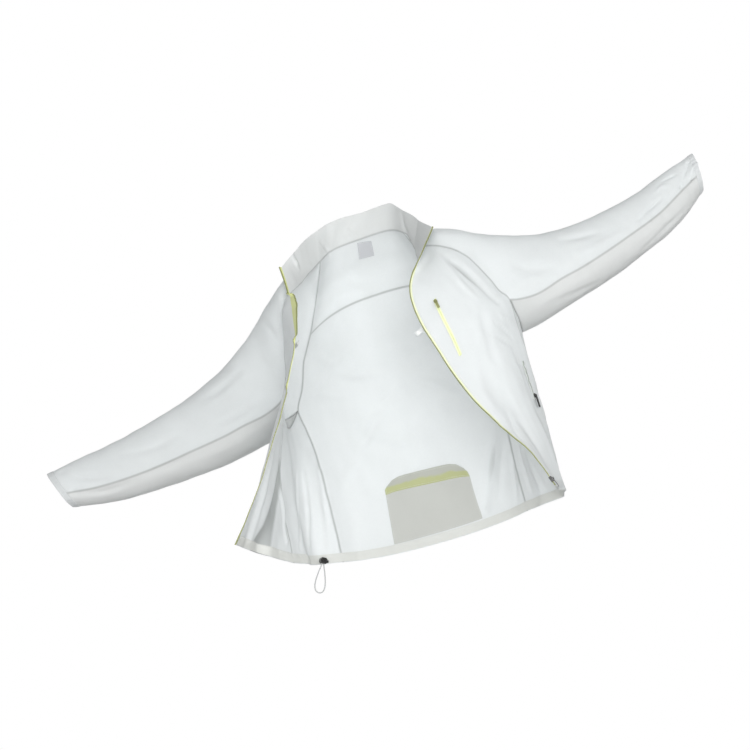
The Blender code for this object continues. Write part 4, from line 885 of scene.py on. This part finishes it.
def cloth_finish(name, light, dark, roughness, through, period, relief, seam_dark=None, net=False, rib=None,
                 edge=None):
    """Woven cloth: mottled colour, two sets of threads, some light let through, darker seams, painted fold
    shade.

    A net has dark spots between its threads and no real holes. Rib is the period of the second set of
    threads. Cloth with an edge turns to its colour between two distances from its first row.
    """
    made, tree, shader = new_material(name)
    mottle = arithmetic(tree, "MULTIPLY", noise(tree, BROAD_MOTTLE), 0.6)
    mottle = arithmetic(tree, "ADD", mottle, arithmetic(tree, "MULTIPLY", noise(tree, FINE_MOTTLE), 0.4))
    warp = thread_wave(tree, "X", period, 0.6)
    weft = thread_wave(tree, "Y", period if rib is None else rib, 0.6)
    weave = arithmetic(tree, "MULTIPLY" if net else "MAXIMUM", warp, weft)
    shade = spread(tree, weave, 0, 1, 0.30 if net else 0.12, 0)
    shade = arithmetic(tree, "ADD", shade, spread(tree, mottle, 0.35, 0.65, 0, 0.10))
    height = arithmetic(tree, "MULTIPLY", weave, relief)
    if seam_dark is not None:
        seam = add(tree, "ShaderNodeAttribute", attribute_name="seam").outputs["Fac"]
        line = spread(tree, seam, *SEAM_SHADE, seam_dark, 0)
        # painted shade: the colour turns darker where creases are deep, standing in for the shade in their
        # folds
        fold = add(tree, "ShaderNodeAttribute", attribute_name="fold").outputs["Fac"]
        painted_fold_mix = spread(tree, fold, *PAINTED_FOLD_RANGE, 0, PAINTED_FOLD_DARKNESS)
        shade = arithmetic(tree, "ADD", arithmetic(tree, "ADD", shade, line), painted_fold_mix)
        groove = spread(tree, seam, 0.0, SEAM_GROOVE[0], -SEAM_GROOVE[1], 0)
        height = arithmetic(tree, "ADD", height, groove)
    height = arithmetic(tree, "ADD", height, arithmetic(tree, "MULTIPLY", noise(tree, 90.0, 4.0), relief * 2))
    colour = mix(tree, shade, light, dark)
    if edge:
        start, stop, edge_colour = edge
        across = add(tree, "ShaderNodeAttribute", attribute_name="across").outputs["Fac"]
        across = arithmetic(tree, "ADD", across, spread(tree, noise(tree, 45.0), 0.3, 0.7, -0.003, 0.003))
        colour = mix(tree, spread(tree, across, start, stop, 0, 1), colour, edge_colour)
    tree.links.new(colour, shader.inputs["Base Color"])
    normal = bumped(tree, shader, height, 1.0, 0.6)
    rough = spread(tree, mottle, 0.3, 0.7, roughness - 0.05, roughness + 0.05)
    tree.links.new(rough, shader.inputs["Roughness"])
    shader.inputs["Sheen Weight"].default_value = 0.12
    shader.inputs["Sheen Roughness"].default_value = 0.5
    shader.inputs["Specular IOR Level"].default_value = 0.25
    if through > 0:
        thin = add(tree, "ShaderNodeBsdfTranslucent")
        tree.links.new(colour, thin.inputs["Color"])
        tree.links.new(normal, thin.inputs["Normal"])
        mixed = add(tree, "ShaderNodeMixShader")
        mixed.inputs[0].default_value = through
        tree.links.new(shader.outputs[0], mixed.inputs[1])
        tree.links.new(thin.outputs[0], mixed.inputs[2])
        tree.links.new(mixed.outputs[0], tree.nodes["Material Output"].inputs["Surface"])
    return made


def hard_finish(name, light, dark, roughness, coat):
    """Moulded or painted hard material with a fine grain and small wear marks."""
    made, tree, shader = new_material(name)
    marks = noise(tree, 420.0, 6.0)
    wear = spread(tree, marks, 0.52, 0.72, 0, 1)
    tree.links.new(mix(tree, wear, dark, light), shader.inputs["Base Color"])
    rough = spread(tree, marks, 0.3, 0.7, roughness - 0.08, roughness + 0.12)
    tree.links.new(rough, shader.inputs["Roughness"])
    bumped(tree, shader, noise(tree, 1500.0, 3.0), 0.00006, 0.5)
    shader.inputs["Coat Weight"].default_value = coat
    return made


def bars(centres, ways, outs, size):
    """Points and faces of small bars. Size is along, across and off the cloth."""
    across = unit(np.cross(outs, ways))
    corners = [(-1, -0.7, -1), (1, -0.7, -1), (1, 0.7, -1), (-1, 0.7, -1), (-0.8, -0.5, 1), (0.8, -0.5, 1),
               (0.8, 0.5, 1), (-0.8, 0.5, 1)]
    points = []
    for x, y, z in corners:
        flat = ways * (x * size[0] / 2) + across * (y * size[1] / 1.4)
        points.append(centres + flat + outs * (z * size[2] / 2))
    points = np.stack(points, axis=1).reshape(-1, 3)
    block = np.array([(3, 2, 1, 0), (4, 5, 6, 7), (0, 1, 5, 4), (1, 2, 6, 5), (2, 3, 7, 6), (3, 0, 4, 7)])
    faces = (np.arange(len(centres))[:, None, None] * 8 + block[None]).reshape(-1, 4)
    return points, faces


def spaced(points, step):
    """Places step apart along a line, as numbers of its points that needn't be whole."""
    lengths = run(points)
    stops = np.arange(step / 2, lengths[-1], step)
    return np.interp(stops, lengths, np.arange(len(points)))


def at_places(values, places):
    low = np.clip(places.astype(int), 0, len(values) - 2)
    share = (places - low)[:, None]
    return values[low] * (1 - share) + values[low + 1] * share


def stitch_rows(lines, both_sides):
    """Points and faces of rows of stitches. Each line is its points and the outward directions there."""
    all_points, all_faces, count = [], [], 0
    for points, outs in lines:
        places = spaced(points, STITCH_STEP)
        if len(places) < 2:
            continue
        centres = at_places(points, places)
        ways = unit(at_places(np.gradient(points, axis=0), places))
        away = unit(at_places(outs, places))
        for side in ((1, -1) if both_sides else (1,)):
            off = centres + away * side * (SHELL / 2 + THREAD * 0.2)
            made, faces = bars(off, ways, away * side, (STITCH, THREAD, THREAD * 0.7))
            all_points.append(made)
            all_faces.append(faces + count)
            count += len(made)
    return np.concatenate(all_points), np.concatenate(all_faces)


def sew(name, lines, finishes, both_sides=False):
    """Rows of stitches as a piece of their own."""
    thread, faces = stitch_rows(lines, both_sides)
    return cloth_object(name, thread, faces, finishes["thread"], sharp=40)


def inset_line(grid, normals, side, distance):
    """The line on a panel at that distance from one of its sides."""
    cloth, out = grid, normals
    if "column" in side:
        cloth, out = cloth.swapaxes(0, 1), out.swapaxes(0, 1)
    if "last" in side:
        cloth, out = cloth[::-1], out[::-1]
    lengths = down_lengths(cloth[: FINE + 1])
    points, outs = [], []
    for k in range(cloth.shape[1]):
        place = np.interp(distance, lengths[:, k], np.arange(len(lengths)))
        low = min(int(place), FINE - 1)
        share = place - low
        points.append(cloth[low, k] * (1 - share) + cloth[low + 1, k] * share)
        outs.append(out[low, k])
    return np.array(points), np.array(outs)


def free_line(front, collar_edge, collar_next, front_out, collar_out, turned=None):
    """A front's free edge and the collar's above it, with the directions beyond it and off the cloth.

    Between the first two numbers of turned, rows of the part's grid, the edge rolls outward by the third,
    an angle.
    """
    points = np.concatenate([front[:, -1], collar_edge[1:]])
    beyond = np.concatenate([front[:, -1] - front[:, -1 - FINE], (collar_edge - collar_next)[1:]])
    away = np.concatenate([front_out[:, -1], collar_out[1:]])
    corner, reach = len(front) - 1, 2 * FINE
    for made in (beyond, away):
        made /= np.linalg.norm(made, axis=1, keepdims=True)
        start, end = made[corner - reach].copy(), made[corner + reach // 2].copy()
        for step in range(-reach, reach // 2 + 1):
            share = (step + reach) / (1.5 * reach)
            made[corner + step] = start + share * (end - start)
    ahead = unit(np.gradient(points, axis=0))
    beyond = unit(beyond - np.sum(beyond * ahead, axis=1, keepdims=True) * ahead)
    square = unit(np.cross(beyond, ahead))
    square *= np.sign(np.sum(square * away, axis=1, keepdims=True))
    if turned:
        start, end, angle = turned
        place = np.arange(len(points)) / FINE
        share = np.clip(np.minimum(place - start, end - place) / 0.7, 0, 1)
        turn = (angle * share * share * (3 - 2 * share))[:, None]
        points = points + square * 0.0010 * turn / angle
        flat, steep = beyond, square
        beyond = (flat * np.cos(turn) + steep * np.sin(turn)) * (1 - 0.6 * turn / angle)
        square = steep * np.cos(turn) - flat * np.sin(turn)
    return points, beyond, square


def draw_zip_half(side, line, finishes, bared=None):
    """Tape sewn to the free edge, and the coil along it.

    Between the first two numbers of bared, rows of the part's grid, up to the third more of the tape is seen.
    """
    points, beyond, away = line
    extra = np.zeros(len(points))
    if bared:
        place = (np.arange(len(points)) / FINE - bared[0]) / (bared[1] - bared[0])
        extra = bared[2] * np.sin(math.pi * np.clip(place, 0, 1) ** 0.78)
    shares = np.linspace(0, 1, 5)
    reach = ZIP_WIDTH - TAPE_SHORT + extra[:, None]
    grid = np.stack([points + beyond * (TAPE_START + reach * share) for share in shares], axis=1)
    normals = np.repeat(away[:, None], len(shares), axis=1)
    tape = shell("zip_tape_" + side, grid, normals, finishes["tape_" + side], wall=TAPE_WALL)
    places = spaced(points, COIL_PITCH)
    centres = at_places(points + beyond * (ZIP_WIDTH - COIL_SHORT + extra[:, None]), places)
    ways, outs = at_places(beyond, places), at_places(away, places)
    coil, faces = bars(centres, ways, outs, COIL_TURN)
    teeth = cloth_object("zip_teeth_" + side, coil, faces, finishes["coil"], sharp=40)
    held(tape, "zip_" + side)
    held(teeth, None)
    return [tape, teeth]


def on_panel(grid, normals, places, side, lift):
    """Points and directions of a piece on a panel, its places in rows and columns of the part's grid."""
    base = np.array([[on_grid(grid, i * FINE, j * FINE) for i, j in line] for line in places])
    away = np.array([[on_grid(normals, i * FINE, j * FINE) for i, j in line] for line in places])
    away = unit(away) * side
    return base + away * lift, away


def between(lines, rows, columns):
    """The lines of places again, with more of them, evenly between the given ones."""
    lines = np.array(lines, float)
    across = np.linspace(0, lines.shape[1] - 1, columns)
    made = []
    for down in np.linspace(0, len(lines) - 1, rows):
        low = min(int(down), len(lines) - 2)
        line = lines[low] * (1 - down + low) + lines[low + 1] * (down - low)
        made.append(np.stack([np.interp(across, np.arange(len(line)), line[:, k]) for k in range(2)], axis=1))
    return np.array(made)


def strip_rows(grid, zip_places, width, steps, columns):
    """Rows of places across a strip on a panel from its start to its end."""
    rows = []
    start, end = zip_places["start"], zip_places["end"]
    for share in np.linspace(0, 1, steps):
        row = start[0] + share * (end[0] - start[0])
        column = start[1] + share * (end[1] - start[1])
        cell_start = on_grid(grid, row * FINE, (column - 0.5) * FINE)
        cell = on_grid(grid, row * FINE, (column + 0.5) * FINE) - cell_start
        half = width / 2 / np.linalg.norm(cell)
        rows.append([(row, column + half * side) for side in np.linspace(-1, 1, columns)])
    return rows


def draw_pocket_zip(name, grid, normals, zip_places, width, finishes):
    rows = strip_rows(grid, zip_places, width, 60, 7)
    base, away = on_panel(grid, normals, rows, 1, 0.0012)
    tape = shell(name + "_tape", base, away, finishes[name], wall=0.0007)
    middle, out = base[:, 3], away[:, 3]
    places = spaced(middle, COIL_PITCH)
    across = unit(at_places(base[:, 4] - base[:, 2], places))
    centres = at_places(middle + out * 0.0006, places)
    coil, faces = bars(centres, across, at_places(out, places), POCKET_COIL_TURN)
    teeth = cloth_object(name + "_coil", coil, faces, finishes[name + "_coil"], sharp=40)
    lines = []
    for column in (0, 6):
        lines.append((base[:, column] * 0.86 + base[:, 3] * 0.14 + away[:, column] * 0.0002, away[:, column]))
    sewing = sew(name + "_stitches", lines, finishes)
    held(tape, name + "_zip")
    held(teeth, None)
    held(sewing, None)
    return [tape, teeth, sewing]


def draw_hem_band(fine, normals, finishes):
    """The hem tunnel, inside the hem from one free edge to the other."""
    rows, outs = [], []
    stops = np.linspace(0.0014, BAND_HEIGHT, 9)
    for name in ("front_right", "side_right", "back", "side_left", "front_left"):
        grid, away = fine[name], -normals[name]
        order = np.arange(grid.shape[1])
        if name in ("front_right", "side_left"):
            order = order[::-1]
        for k in order[1 if rows else 0:]:
            foot = slice(0, 2 * FINE)
            lengths = run(grid[foot, k])
            places = np.interp(stops, lengths, np.arange(len(lengths)))
            line, way = at_places(grid[foot, k], places), at_places(away[foot, k], places)
            belly = 0.0011 + 0.0011 * np.sin(math.pi * np.linspace(0, 1, len(stops)))[:, None] ** 0.6
            rows.append(line + way * belly)
            outs.append(way)
    grid, away = np.array(rows).transpose(1, 0, 2), np.array(outs).transpose(1, 0, 2)
    grid = grid + away * waves(grid, 0.0004, 0.012, 8)[..., None]
    band = shell("hem_tunnel", grid, away, finishes["hem"], wall=0.0006)
    sewing = sew("hem_stitches", [(grid[-2], away[-2])], finishes)
    held(band, "hem_band")
    held(sewing, None)


def draw_cuff(side, upper, under, finishes):
    """Elastic binding round the end of a sleeve, gathered a little unevenly."""
    ring = np.concatenate([upper[-1], under[-1][1:-1]])
    before = np.concatenate([upper[-1 - FINE], under[-1 - FINE][1:-1]])
    centre = ring.mean(axis=0)
    axis = centre - before.mean(axis=0)
    axis /= np.linalg.norm(axis)
    spokes = ring - centre
    spokes -= (spokes @ axis)[:, None] * axis
    lengths = np.linalg.norm(spokes, axis=1, keepdims=True)
    around = np.linspace(0, 2 * math.pi, len(ring), endpoint=False)
    ripple = 0.5 * np.sin(31 * around + 2 * np.sin(3 * around)) + 0.3 * np.sin(47 * around)
    rows, outs = [], []
    for share in np.linspace(0, 1, 9):
        scale = 1 - 0.05 * math.sin(share * math.pi / 2)
        gather = 0.0006 * ripple * math.sin(math.pi * (0.12 + 0.88 * share))
        belly = 0.0006 * math.sin(math.pi * share)
        base = ring + axis * (0.0003 + share * (CUFF_LENGTH - 0.0003)) + spokes * (scale - 1)
        rows.append(base + spokes / lengths * (gather[:, None] + belly))
        outs.append(spokes / lengths)
    grid, away = np.array(rows), np.array(outs)
    binding = shell("cuff_binding_" + side, grid, away, finishes["cuff"], wall=0.0012, closed_round=True)
    lines = []
    for row in (1, 6):
        out = np.concatenate([away[row], away[row][:1]])
        lines.append((np.concatenate([grid[row], grid[row][:1]]) + out * 0.0003, out))
    sewing = sew("cuff_stitches_" + side, lines, finishes)
    held(binding, "cuff_" + side)
    held(sewing, None)


def outline_lines(base, away, lift):
    """The lines round a piece, one step inside its rim, at that height above it."""
    lines = []
    for place in ((1, slice(1, -1)), (-2, slice(1, -1)), (slice(1, -1), 1), (slice(1, -1), -2)):
        lines.append((base[place] + away[place] * lift, away[place]))
    return lines


def draw_laid(name, node, grid, normals, places, shape, finish, finishes, lift=0.0013,
              wall=0.0007, billow=0.0):
    rows = between(places, *shape)
    base, away = on_panel(grid, normals, rows, -1, lift)
    if billow:
        down, across = np.linspace(0, 1, shape[0])[:, None], np.linspace(0, 1, shape[1])[None]
        swell = (np.sin(math.pi * down) * np.sin(math.pi * across)) ** 0.6
        swell = swell * (billow + waves(base, 0.6 * billow, 0.06, 11))
        base = base + away * swell[..., None]
    made = shell(name, base, away, finish, wall=wall, across=down_lengths(base))
    sewing = sew(name + "_stitches", outline_lines(base, away, 0.0001), finishes)
    held(made, node)
    held(sewing, None)


def draw_tab(side, grid, normals, row, reach, snap_place, finishes):
    """A plain folded tab behind a front's free edge, and the snap on its end."""
    last = grid.shape[1] - 1
    frame_here = frame_on(grid, normals, row * FINE, last - 0.05 * FINE, -1, (row * FINE, last - FINE))
    low = ZIP_WALL / 2 - CLOTH / 2 + LIFT + TRIM / 2
    rows, outs = [], []
    away = frame_here[3]
    for y in np.linspace(TAB_ROOT, -reach + 0.0005, 26):
        end = max(0.0, (-y - (reach - TAB_ROUND)) / TAB_ROUND)
        half = TAB_HALF * math.sqrt(max(1 - (0.55 * end) ** 2, 0.1))
        curl = 0.0005 * math.sin(abs(y) * 160)
        line = [(x * half, y, low + curl - 0.0002 * x * x) for x in np.linspace(-1, 1, 9)]
        rows.append(placed(frame_here, line))
        outs.append([away] * 9)
    base, away = np.array(rows), np.array(outs)
    tab = shell("tab_cloth_" + side, base, away, finishes["trim"], wall=TAB_WALL)
    sewing = sew("tab_stitches_" + side, outline_lines(base, away, 0.0002), finishes)
    points, ring_faces, count = [], [], SNAP_STEPS
    top = low - 0.0009
    for radius, height in SNAP_PROFILE:
        for turn in 2 * math.pi * np.arange(count) / count:
            spot = (radius * math.cos(turn), snap_place + radius * math.sin(turn), top - height)
            points += placed(frame_here, [spot])
    rings = len(SNAP_PROFILE)
    for i in range(rings - 1):
        for k in range(count):
            n = (k + 1) % count
            ring_faces.append([i * count + k, i * count + n, (i + 1) * count + n, (i + 1) * count + k])
    ring_faces.append(list(range(count))[::-1])
    ring_faces.append(list(range((rings - 1) * count, rings * count)))
    snap_cap = cloth_object("snap_cap_" + side, points, ring_faces, finishes["snap"], sharp=35)
    held(tab, "tab_" + side)
    held(sewing, None)
    held(snap_cap, "snap_" + side)


def draw_cord(grid, normals, finishes):
    """The loop of cord below its lock."""
    origin = on_grid(grid, *LOCK_PLACE)
    away = -on_grid(normals, *LOCK_PLACE)
    away /= np.linalg.norm(away)
    ahead = -np.array(HANG)
    ahead -= (ahead @ away) / away[1] * np.array((0, 1, 0))
    ahead /= np.linalg.norm(ahead)
    across = np.cross(ahead, away)
    lift = CLOTH / 2 + LIFT + TRIM + LOCK_GAP + LOCK_SIZE[2] / 2
    foot = origin + away * lift - ahead * (LOCK_SIZE[1] / 2)
    half = [(x, -y) for x, y in CORD_LOOP]
    bends = [(half[0][0], CORD_IN)] + half + [(0.0, -CORD_DROP)] + [(-x, y) for x, y in half[::-1]]
    bends += [(-half[0][0], CORD_IN)]
    places = along([(x, y, 0.0) for x, y in bends], list(np.linspace(0, 1, 61)))
    curve = bpy.data.curves.new("cord_loop", "CURVE")
    curve.dimensions = "3D"
    curve.bevel_depth = CORD / 2
    curve.bevel_resolution = 4
    curve.use_fill_caps = True
    line = curve.splines.new("POLY")
    line.points.add(len(places) - 1)
    for spot, (x, y, z) in zip(line.points, places):
        point = foot + x * across + y * ahead
        spot.co = (*point, 1)
    line.use_smooth = True
    made = bpy.data.objects.new("cord_loop", curve)
    bpy.context.scene.collection.objects.link(made)
    curve.materials.append(finishes["cord"])
    held(made, "draw_cord")


ROOM_LIGHT = 0.47
LAMPS = [
    ("front_lamp", 140, 2.8, (0.1, -3.9, -0.3), (0.0, 0.0, -0.3)),
    ("side_lamp", 38, 2.2, (3.0, -2.2, 0.8), (0.1, 0.0, -0.3)),
    ("back_lamp", 84, 3.0, (-0.3, 3.6, 0.2), (0.0, 0.0, -0.3)),
]

# Sides of each kind of panel that are sewn to another, and sides that are topstitched
SEAMS = {
    "back": ("first column", "last column", "last row"),
    "yoke": ("first column", "last column", "first row", "last row"),
    "front": ("first column", "last row"),
    "side": ("first column", "last column", "last row"),
    "sleeve_upper": ("first row", "first column", "last column"),
    "sleeve_under": ("first row", "first column", "last column"),
    "collar": ("first row",),
}
TOPSTITCHED = {
    "back": ("first column", "last column", "last row"),
    "yoke": ("first column", "last column", "last row"),
    "front": ("first column", "last row", "last column"),
    "side": (),
    "sleeve_upper": ("first column", "last column", "last row"),
    "sleeve_under": ("last row",),
    "collar": ("first row", "last row"),
}

# Each cloth: colour, darker colour between threads, at seams and as painted shade in folds, roughness,
# share of the light that it lets through, thread period, relief of the weave, and what else it has
CLOTHS = {
    "shell": ((0.845, 0.865, 0.868), (0.56, 0.58, 0.575), 0.62, 0.48, 0.0009, 0.00003, {"seam_dark": 0.8}),
    # painted shade: the under sleeves take a darker copy of the shell cloth, standing in for the shade
    # beneath the arms
    "under": ((0.79, 0.80, 0.795), (0.56, 0.57, 0.56), 0.62, 0.44, 0.0009, 0.00003, {"seam_dark": 0.8}),
    # painted shade: the collar takes a darker copy of the shell cloth, standing in for the shade inside it
    "collar": ((0.735, 0.75, 0.745), (0.54, 0.55, 0.55), 0.62, 0.40, 0.0009, 0.00003, {"seam_dark": 0.8}),
    "cuff": ((0.64, 0.66, 0.665), (0.48, 0.50, 0.50), 0.7, 0.2, 0.0011, 0.00008, {"rib": 0.0004}),
    "trim": ((0.66, 0.68, 0.68), (0.50, 0.51, 0.50), 0.65, 0.2, 0.0008, 0.00004, {}),
    "mesh": ((0.63, 0.64, 0.61), (0.48, 0.49, 0.455), 0.75, 0.25, 0.0016, 0.00012, {"net": True}),
    "hem": ((0.77, 0.78, 0.755), (0.62, 0.63, 0.59), 0.75, 0.25, 0.0016, 0.00012, {"net": True}),
    "mouth": ((0.46, 0.485, 0.26), (0.27, 0.29, 0.13), 0.7, 0.1, 0.0012, 0.0001,
              {"rib": 0.0030, "edge": (0.012, 0.018, (0.44, 0.45, 0.405))}),
    "label": ((0.50, 0.51, 0.53), (0.36, 0.37, 0.39), 0.55, 0.0, 0.0005, 0.00004, {}),
    "tape_left": ((0.80, 0.83, 0.60), (0.60, 0.63, 0.38), 0.6, 0.15, 0.0008, 0.00006, {}),
    "tape_right": ((0.70, 0.74, 0.36), (0.50, 0.52, 0.20), 0.6, 0.15, 0.0008, 0.00006, {}),
    "chest": ((0.80, 0.84, 0.56), (0.60, 0.64, 0.36), 0.6, 0.1, 0.0008, 0.00006, {}),
    "side": ((0.62, 0.66, 0.62), (0.40, 0.43, 0.40), 0.6, 0.1, 0.0008, 0.00006, {}),
    "thread": ((0.74, 0.76, 0.76), (0.58, 0.60, 0.60), 0.6, 0.0, 0.0004, 0.00003, {}),
    "cord": ((0.46, 0.47, 0.47), (0.28, 0.29, 0.29), 0.6, 0.0, 0.0010, 0.0001, {}),
}
# Each hard material: colour where it is worn, colour elsewhere, roughness and gloss coat
HARD = {
    "coil": ((0.36, 0.38, 0.16), (0.26, 0.28, 0.10), 0.42, 0.0),
    "chest_coil": ((0.72, 0.76, 0.44), (0.58, 0.62, 0.30), 0.42, 0.0),
    "side_coil": ((0.20, 0.21, 0.20), (0.12, 0.13, 0.12), 0.42, 0.0),
    "olive": ((0.34, 0.35, 0.16), (0.20, 0.21, 0.08), 0.4, 0.0),
    "snap": ((0.82, 0.83, 0.82), (0.72, 0.73, 0.72), 0.3, 0.4),
    "metal": ((0.10, 0.10, 0.09), (0.015, 0.015, 0.015), 0.32, 0.3),
    "plastic": ((0.022, 0.022, 0.022), (0.006, 0.006, 0.006), 0.42, 0.0),
    "lock": ((0.020, 0.020, 0.020), (0.005, 0.005, 0.005), 0.18, 0.6),
}
# Parts that stay as they are in the CAD model: finish and width of their soft edges
KEPT_PARTS = {
    "slider_main": ("metal", 0.00022), "pull_main": ("plastic", 0.00022), "chest_slider": ("olive", 0.00022),
    "chest_pull": ("olive", 0.00022), "side_slider": ("metal", 0.00022), "side_pull": ("plastic", 0.0005),
    "cord_lock": ("lock", 0.0009), "lock_plunger": ("lock", 0.00022),
}


def kind(name):
    """A panel's name without its side."""
    return name.removesuffix("_right").removesuffix("_left")


def make_finishes():
    made = {}
    for name, (*values, extra) in CLOTHS.items():
        made[name] = cloth_finish(name + "_finish", *values, **extra)
    for name, values in HARD.items():
        made[name] = hard_finish(name + "_finish", *values)
    return made


def draw_panels(cloth, painted_fold_shade, plain, normals, finishes):
    """Every panel with its topstitching, as the panel and a list of what is sewn to it, by name."""
    sheets = {}
    for name, grid in cloth.items():
        # the under sleeves and the collar take darker copies of the shell cloth as painted shade
        finish = finishes[{"sleeve_under": "under", "collar": "collar"}.get(kind(name), "shell")]
        seam = seam_distance(grid, SEAMS[kind(name)])
        # the fold measure carries the painted shade of the creases into the colour
        made = shell(name + "_cloth", grid, normals[name], finish, cloth=arc_coordinates(plain[name]),
                     seam=seam, fold=painted_fold_shade[name])
        held(made, name)
        sheets[name] = (made, [])
        lines = []
        for side in TOPSTITCHED[kind(name)]:
            lines.append(inset_line(grid, normals[name], side, STITCH_INSET))
        if lines:
            sewing = sew(name + "_stitches", lines, finishes, both_sides=True)
            held(sewing, None)
            sheets[name][1].append(sewing)
    return sheets


def dress_kept_parts(finishes):
    for name, (finish, width) in KEPT_PARTS.items():
        node = frame["nodes"][name]
        node.data.materials.clear()
        node.data.materials.append(finishes[finish])
        bevel = node.modifiers.new("soft_edges", "BEVEL")
        bevel.width = width
        bevel.segments = 3
        bevel.limit_method = "ANGLE"
        bevel.angle_limit = math.radians(35)
        bevel.harden_normals = False


def place_camera():
    ahead = np.array((0.0, math.cos(CAMERA_TILT), math.sin(CAMERA_TILT)))
    right = np.array((1.0, 0.0, 0.0))
    up = np.array((0.0, -math.sin(CAMERA_TILT), math.cos(CAMERA_TILT)))
    image_right = math.cos(CAMERA_ROLL) * right - math.sin(CAMERA_ROLL) * up
    image_up = math.sin(CAMERA_ROLL) * right + math.cos(CAMERA_ROLL) * up
    camera_data = bpy.data.cameras.new("camera")
    camera_data.sensor_width = SENSOR
    camera_data.lens = SENSOR * CAMERA_DISTANCE / PIXEL / PICTURE
    camera = bpy.data.objects.new("camera", camera_data)
    matrix = np.eye(4)
    matrix[:3, :3] = np.stack([image_right, image_up, -ahead], axis=1)
    matrix[:3, 3] = np.array(CAMERA_TARGET) - CAMERA_DISTANCE * ahead
    camera.matrix_world = mathutils.Matrix(matrix.tolist())
    bpy.context.scene.collection.objects.link(camera)
    bpy.context.scene.camera = camera

    view = bpy.context.scene.view_settings
    view.view_transform = "Standard"
    view.look = "None"
    view.exposure = 0
    view.gamma = 1


def lay_floor():
    far, high = FLOOR_REACH, FLOOR_HEIGHT
    corners = [(-far, -far, high), (far, -far, high), (far, far, high), (-far, far, high)]
    cloth_object("floor", corners, [(0, 1, 2, 3)], floor_finish())


def main():
    finishes = make_finishes()
    coarse = build_panels()
    plain = fine_panels(coarse)
    cloth, painted_fold_shade = draped(plain)
    normals = common_normals(cloth)
    sheets = draw_panels(cloth, painted_fold_shade, plain, normals, finishes)

    collar, outs = cloth["collar"], normals["collar"]
    for side, edge, inner, turned, bared in (("right", 0, FINE, ZIP_ROLL, ZIP_BARED),
                                             ("left", -1, -1 - FINE, None, None)):
        name = "front_" + side
        line = free_line(cloth[name], collar[:, edge], collar[:, inner], normals[name], outs[:, edge], turned)
        sheets[name][1].extend(draw_zip_half(side, line, finishes, bared))
    draw_hem_band(cloth, normals, finishes)
    for side in ("right", "left"):
        draw_cuff(side, cloth["sleeve_upper_" + side], cloth["sleeve_under_" + side], finishes)
    left, outer = cloth["front_left"], normals["front_left"]
    sewn = sheets["front_left"][1]
    sewn.extend(draw_pocket_zip("chest", left, outer, CHEST_ZIP, CHEST_ZIP_WIDTH, finishes))
    sewn.extend(draw_pocket_zip("side", left, outer, SIDE_ZIP, SIDE_ZIP_WIDTH, finishes))
    back, behind = cloth["back"], normals["back"]
    draw_laid("hem_pocket_cloth", "hem_pocket", back, behind, line_places(POCKET_LINES, 13), (40, 90),
              finishes["mesh"], finishes, billow=0.002)
    draw_laid("pocket_mouth_cloth", "pocket_mouth", back, behind, line_places(MOUTH_LINES, 13), (12, 90),
              finishes["mouth"], finishes, lift=0.0016)
    draw_laid("neck_label_cloth", "neck_label", cloth["yoke"], normals["yoke"], line_places(LABEL_LINES, 3),
              (24, 28), finishes["label"], finishes)
    draw_tab("left", left, outer, 10.10, 0.026, -0.019, finishes)
    draw_tab("right", cloth["front_right"], normals["front_right"], 9.60, 0.022, -0.015, finishes)
    draw_cord(coarse["side_right"], grid_normals(coarse["side_right"], "side_right" in FLIPPED), finishes)
    dress_kept_parts(finishes)
    light_studio()
    lay_floor()
    place_camera()


def light_studio():
    """A weak white room that the camera sees as white, and three large soft lamps."""
    world = bpy.data.worlds.new("studio")
    bpy.context.scene.world = world
    world.use_nodes = True
    tree = world.node_tree
    ground = tree.nodes["Background"]
    ground.inputs["Color"].default_value = (1, 1, 1, 1)
    seen = add(tree, "ShaderNodeLightPath").outputs["Is Camera Ray"]
    tree.links.new(spread(tree, seen, 0, 1, ROOM_LIGHT, 1.0), ground.inputs["Strength"])
    for name, power, size, place, target in LAMPS:
        lamp = bpy.data.lights.new(name, "AREA")
        lamp.energy = power
        lamp.shape = "SQUARE"
        lamp.size = size
        made = bpy.data.objects.new(name, lamp)
        aim(made, place, target)
        bpy.context.scene.collection.objects.link(made)


def aim(thing, place, target):
    thing.location = place
    way = mathutils.Vector(target) - mathutils.Vector(place)
    thing.rotation_mode = "QUATERNION"
    thing.rotation_quaternion = way.to_track_quat("-Z", "Y")


def floor_finish():
    made, _, shader = new_material("floor")
    shader.inputs["Base Color"].default_value = (0.62, 0.62, 0.62, 1)
    shader.inputs["Roughness"].default_value = 0.9
    return made


main()
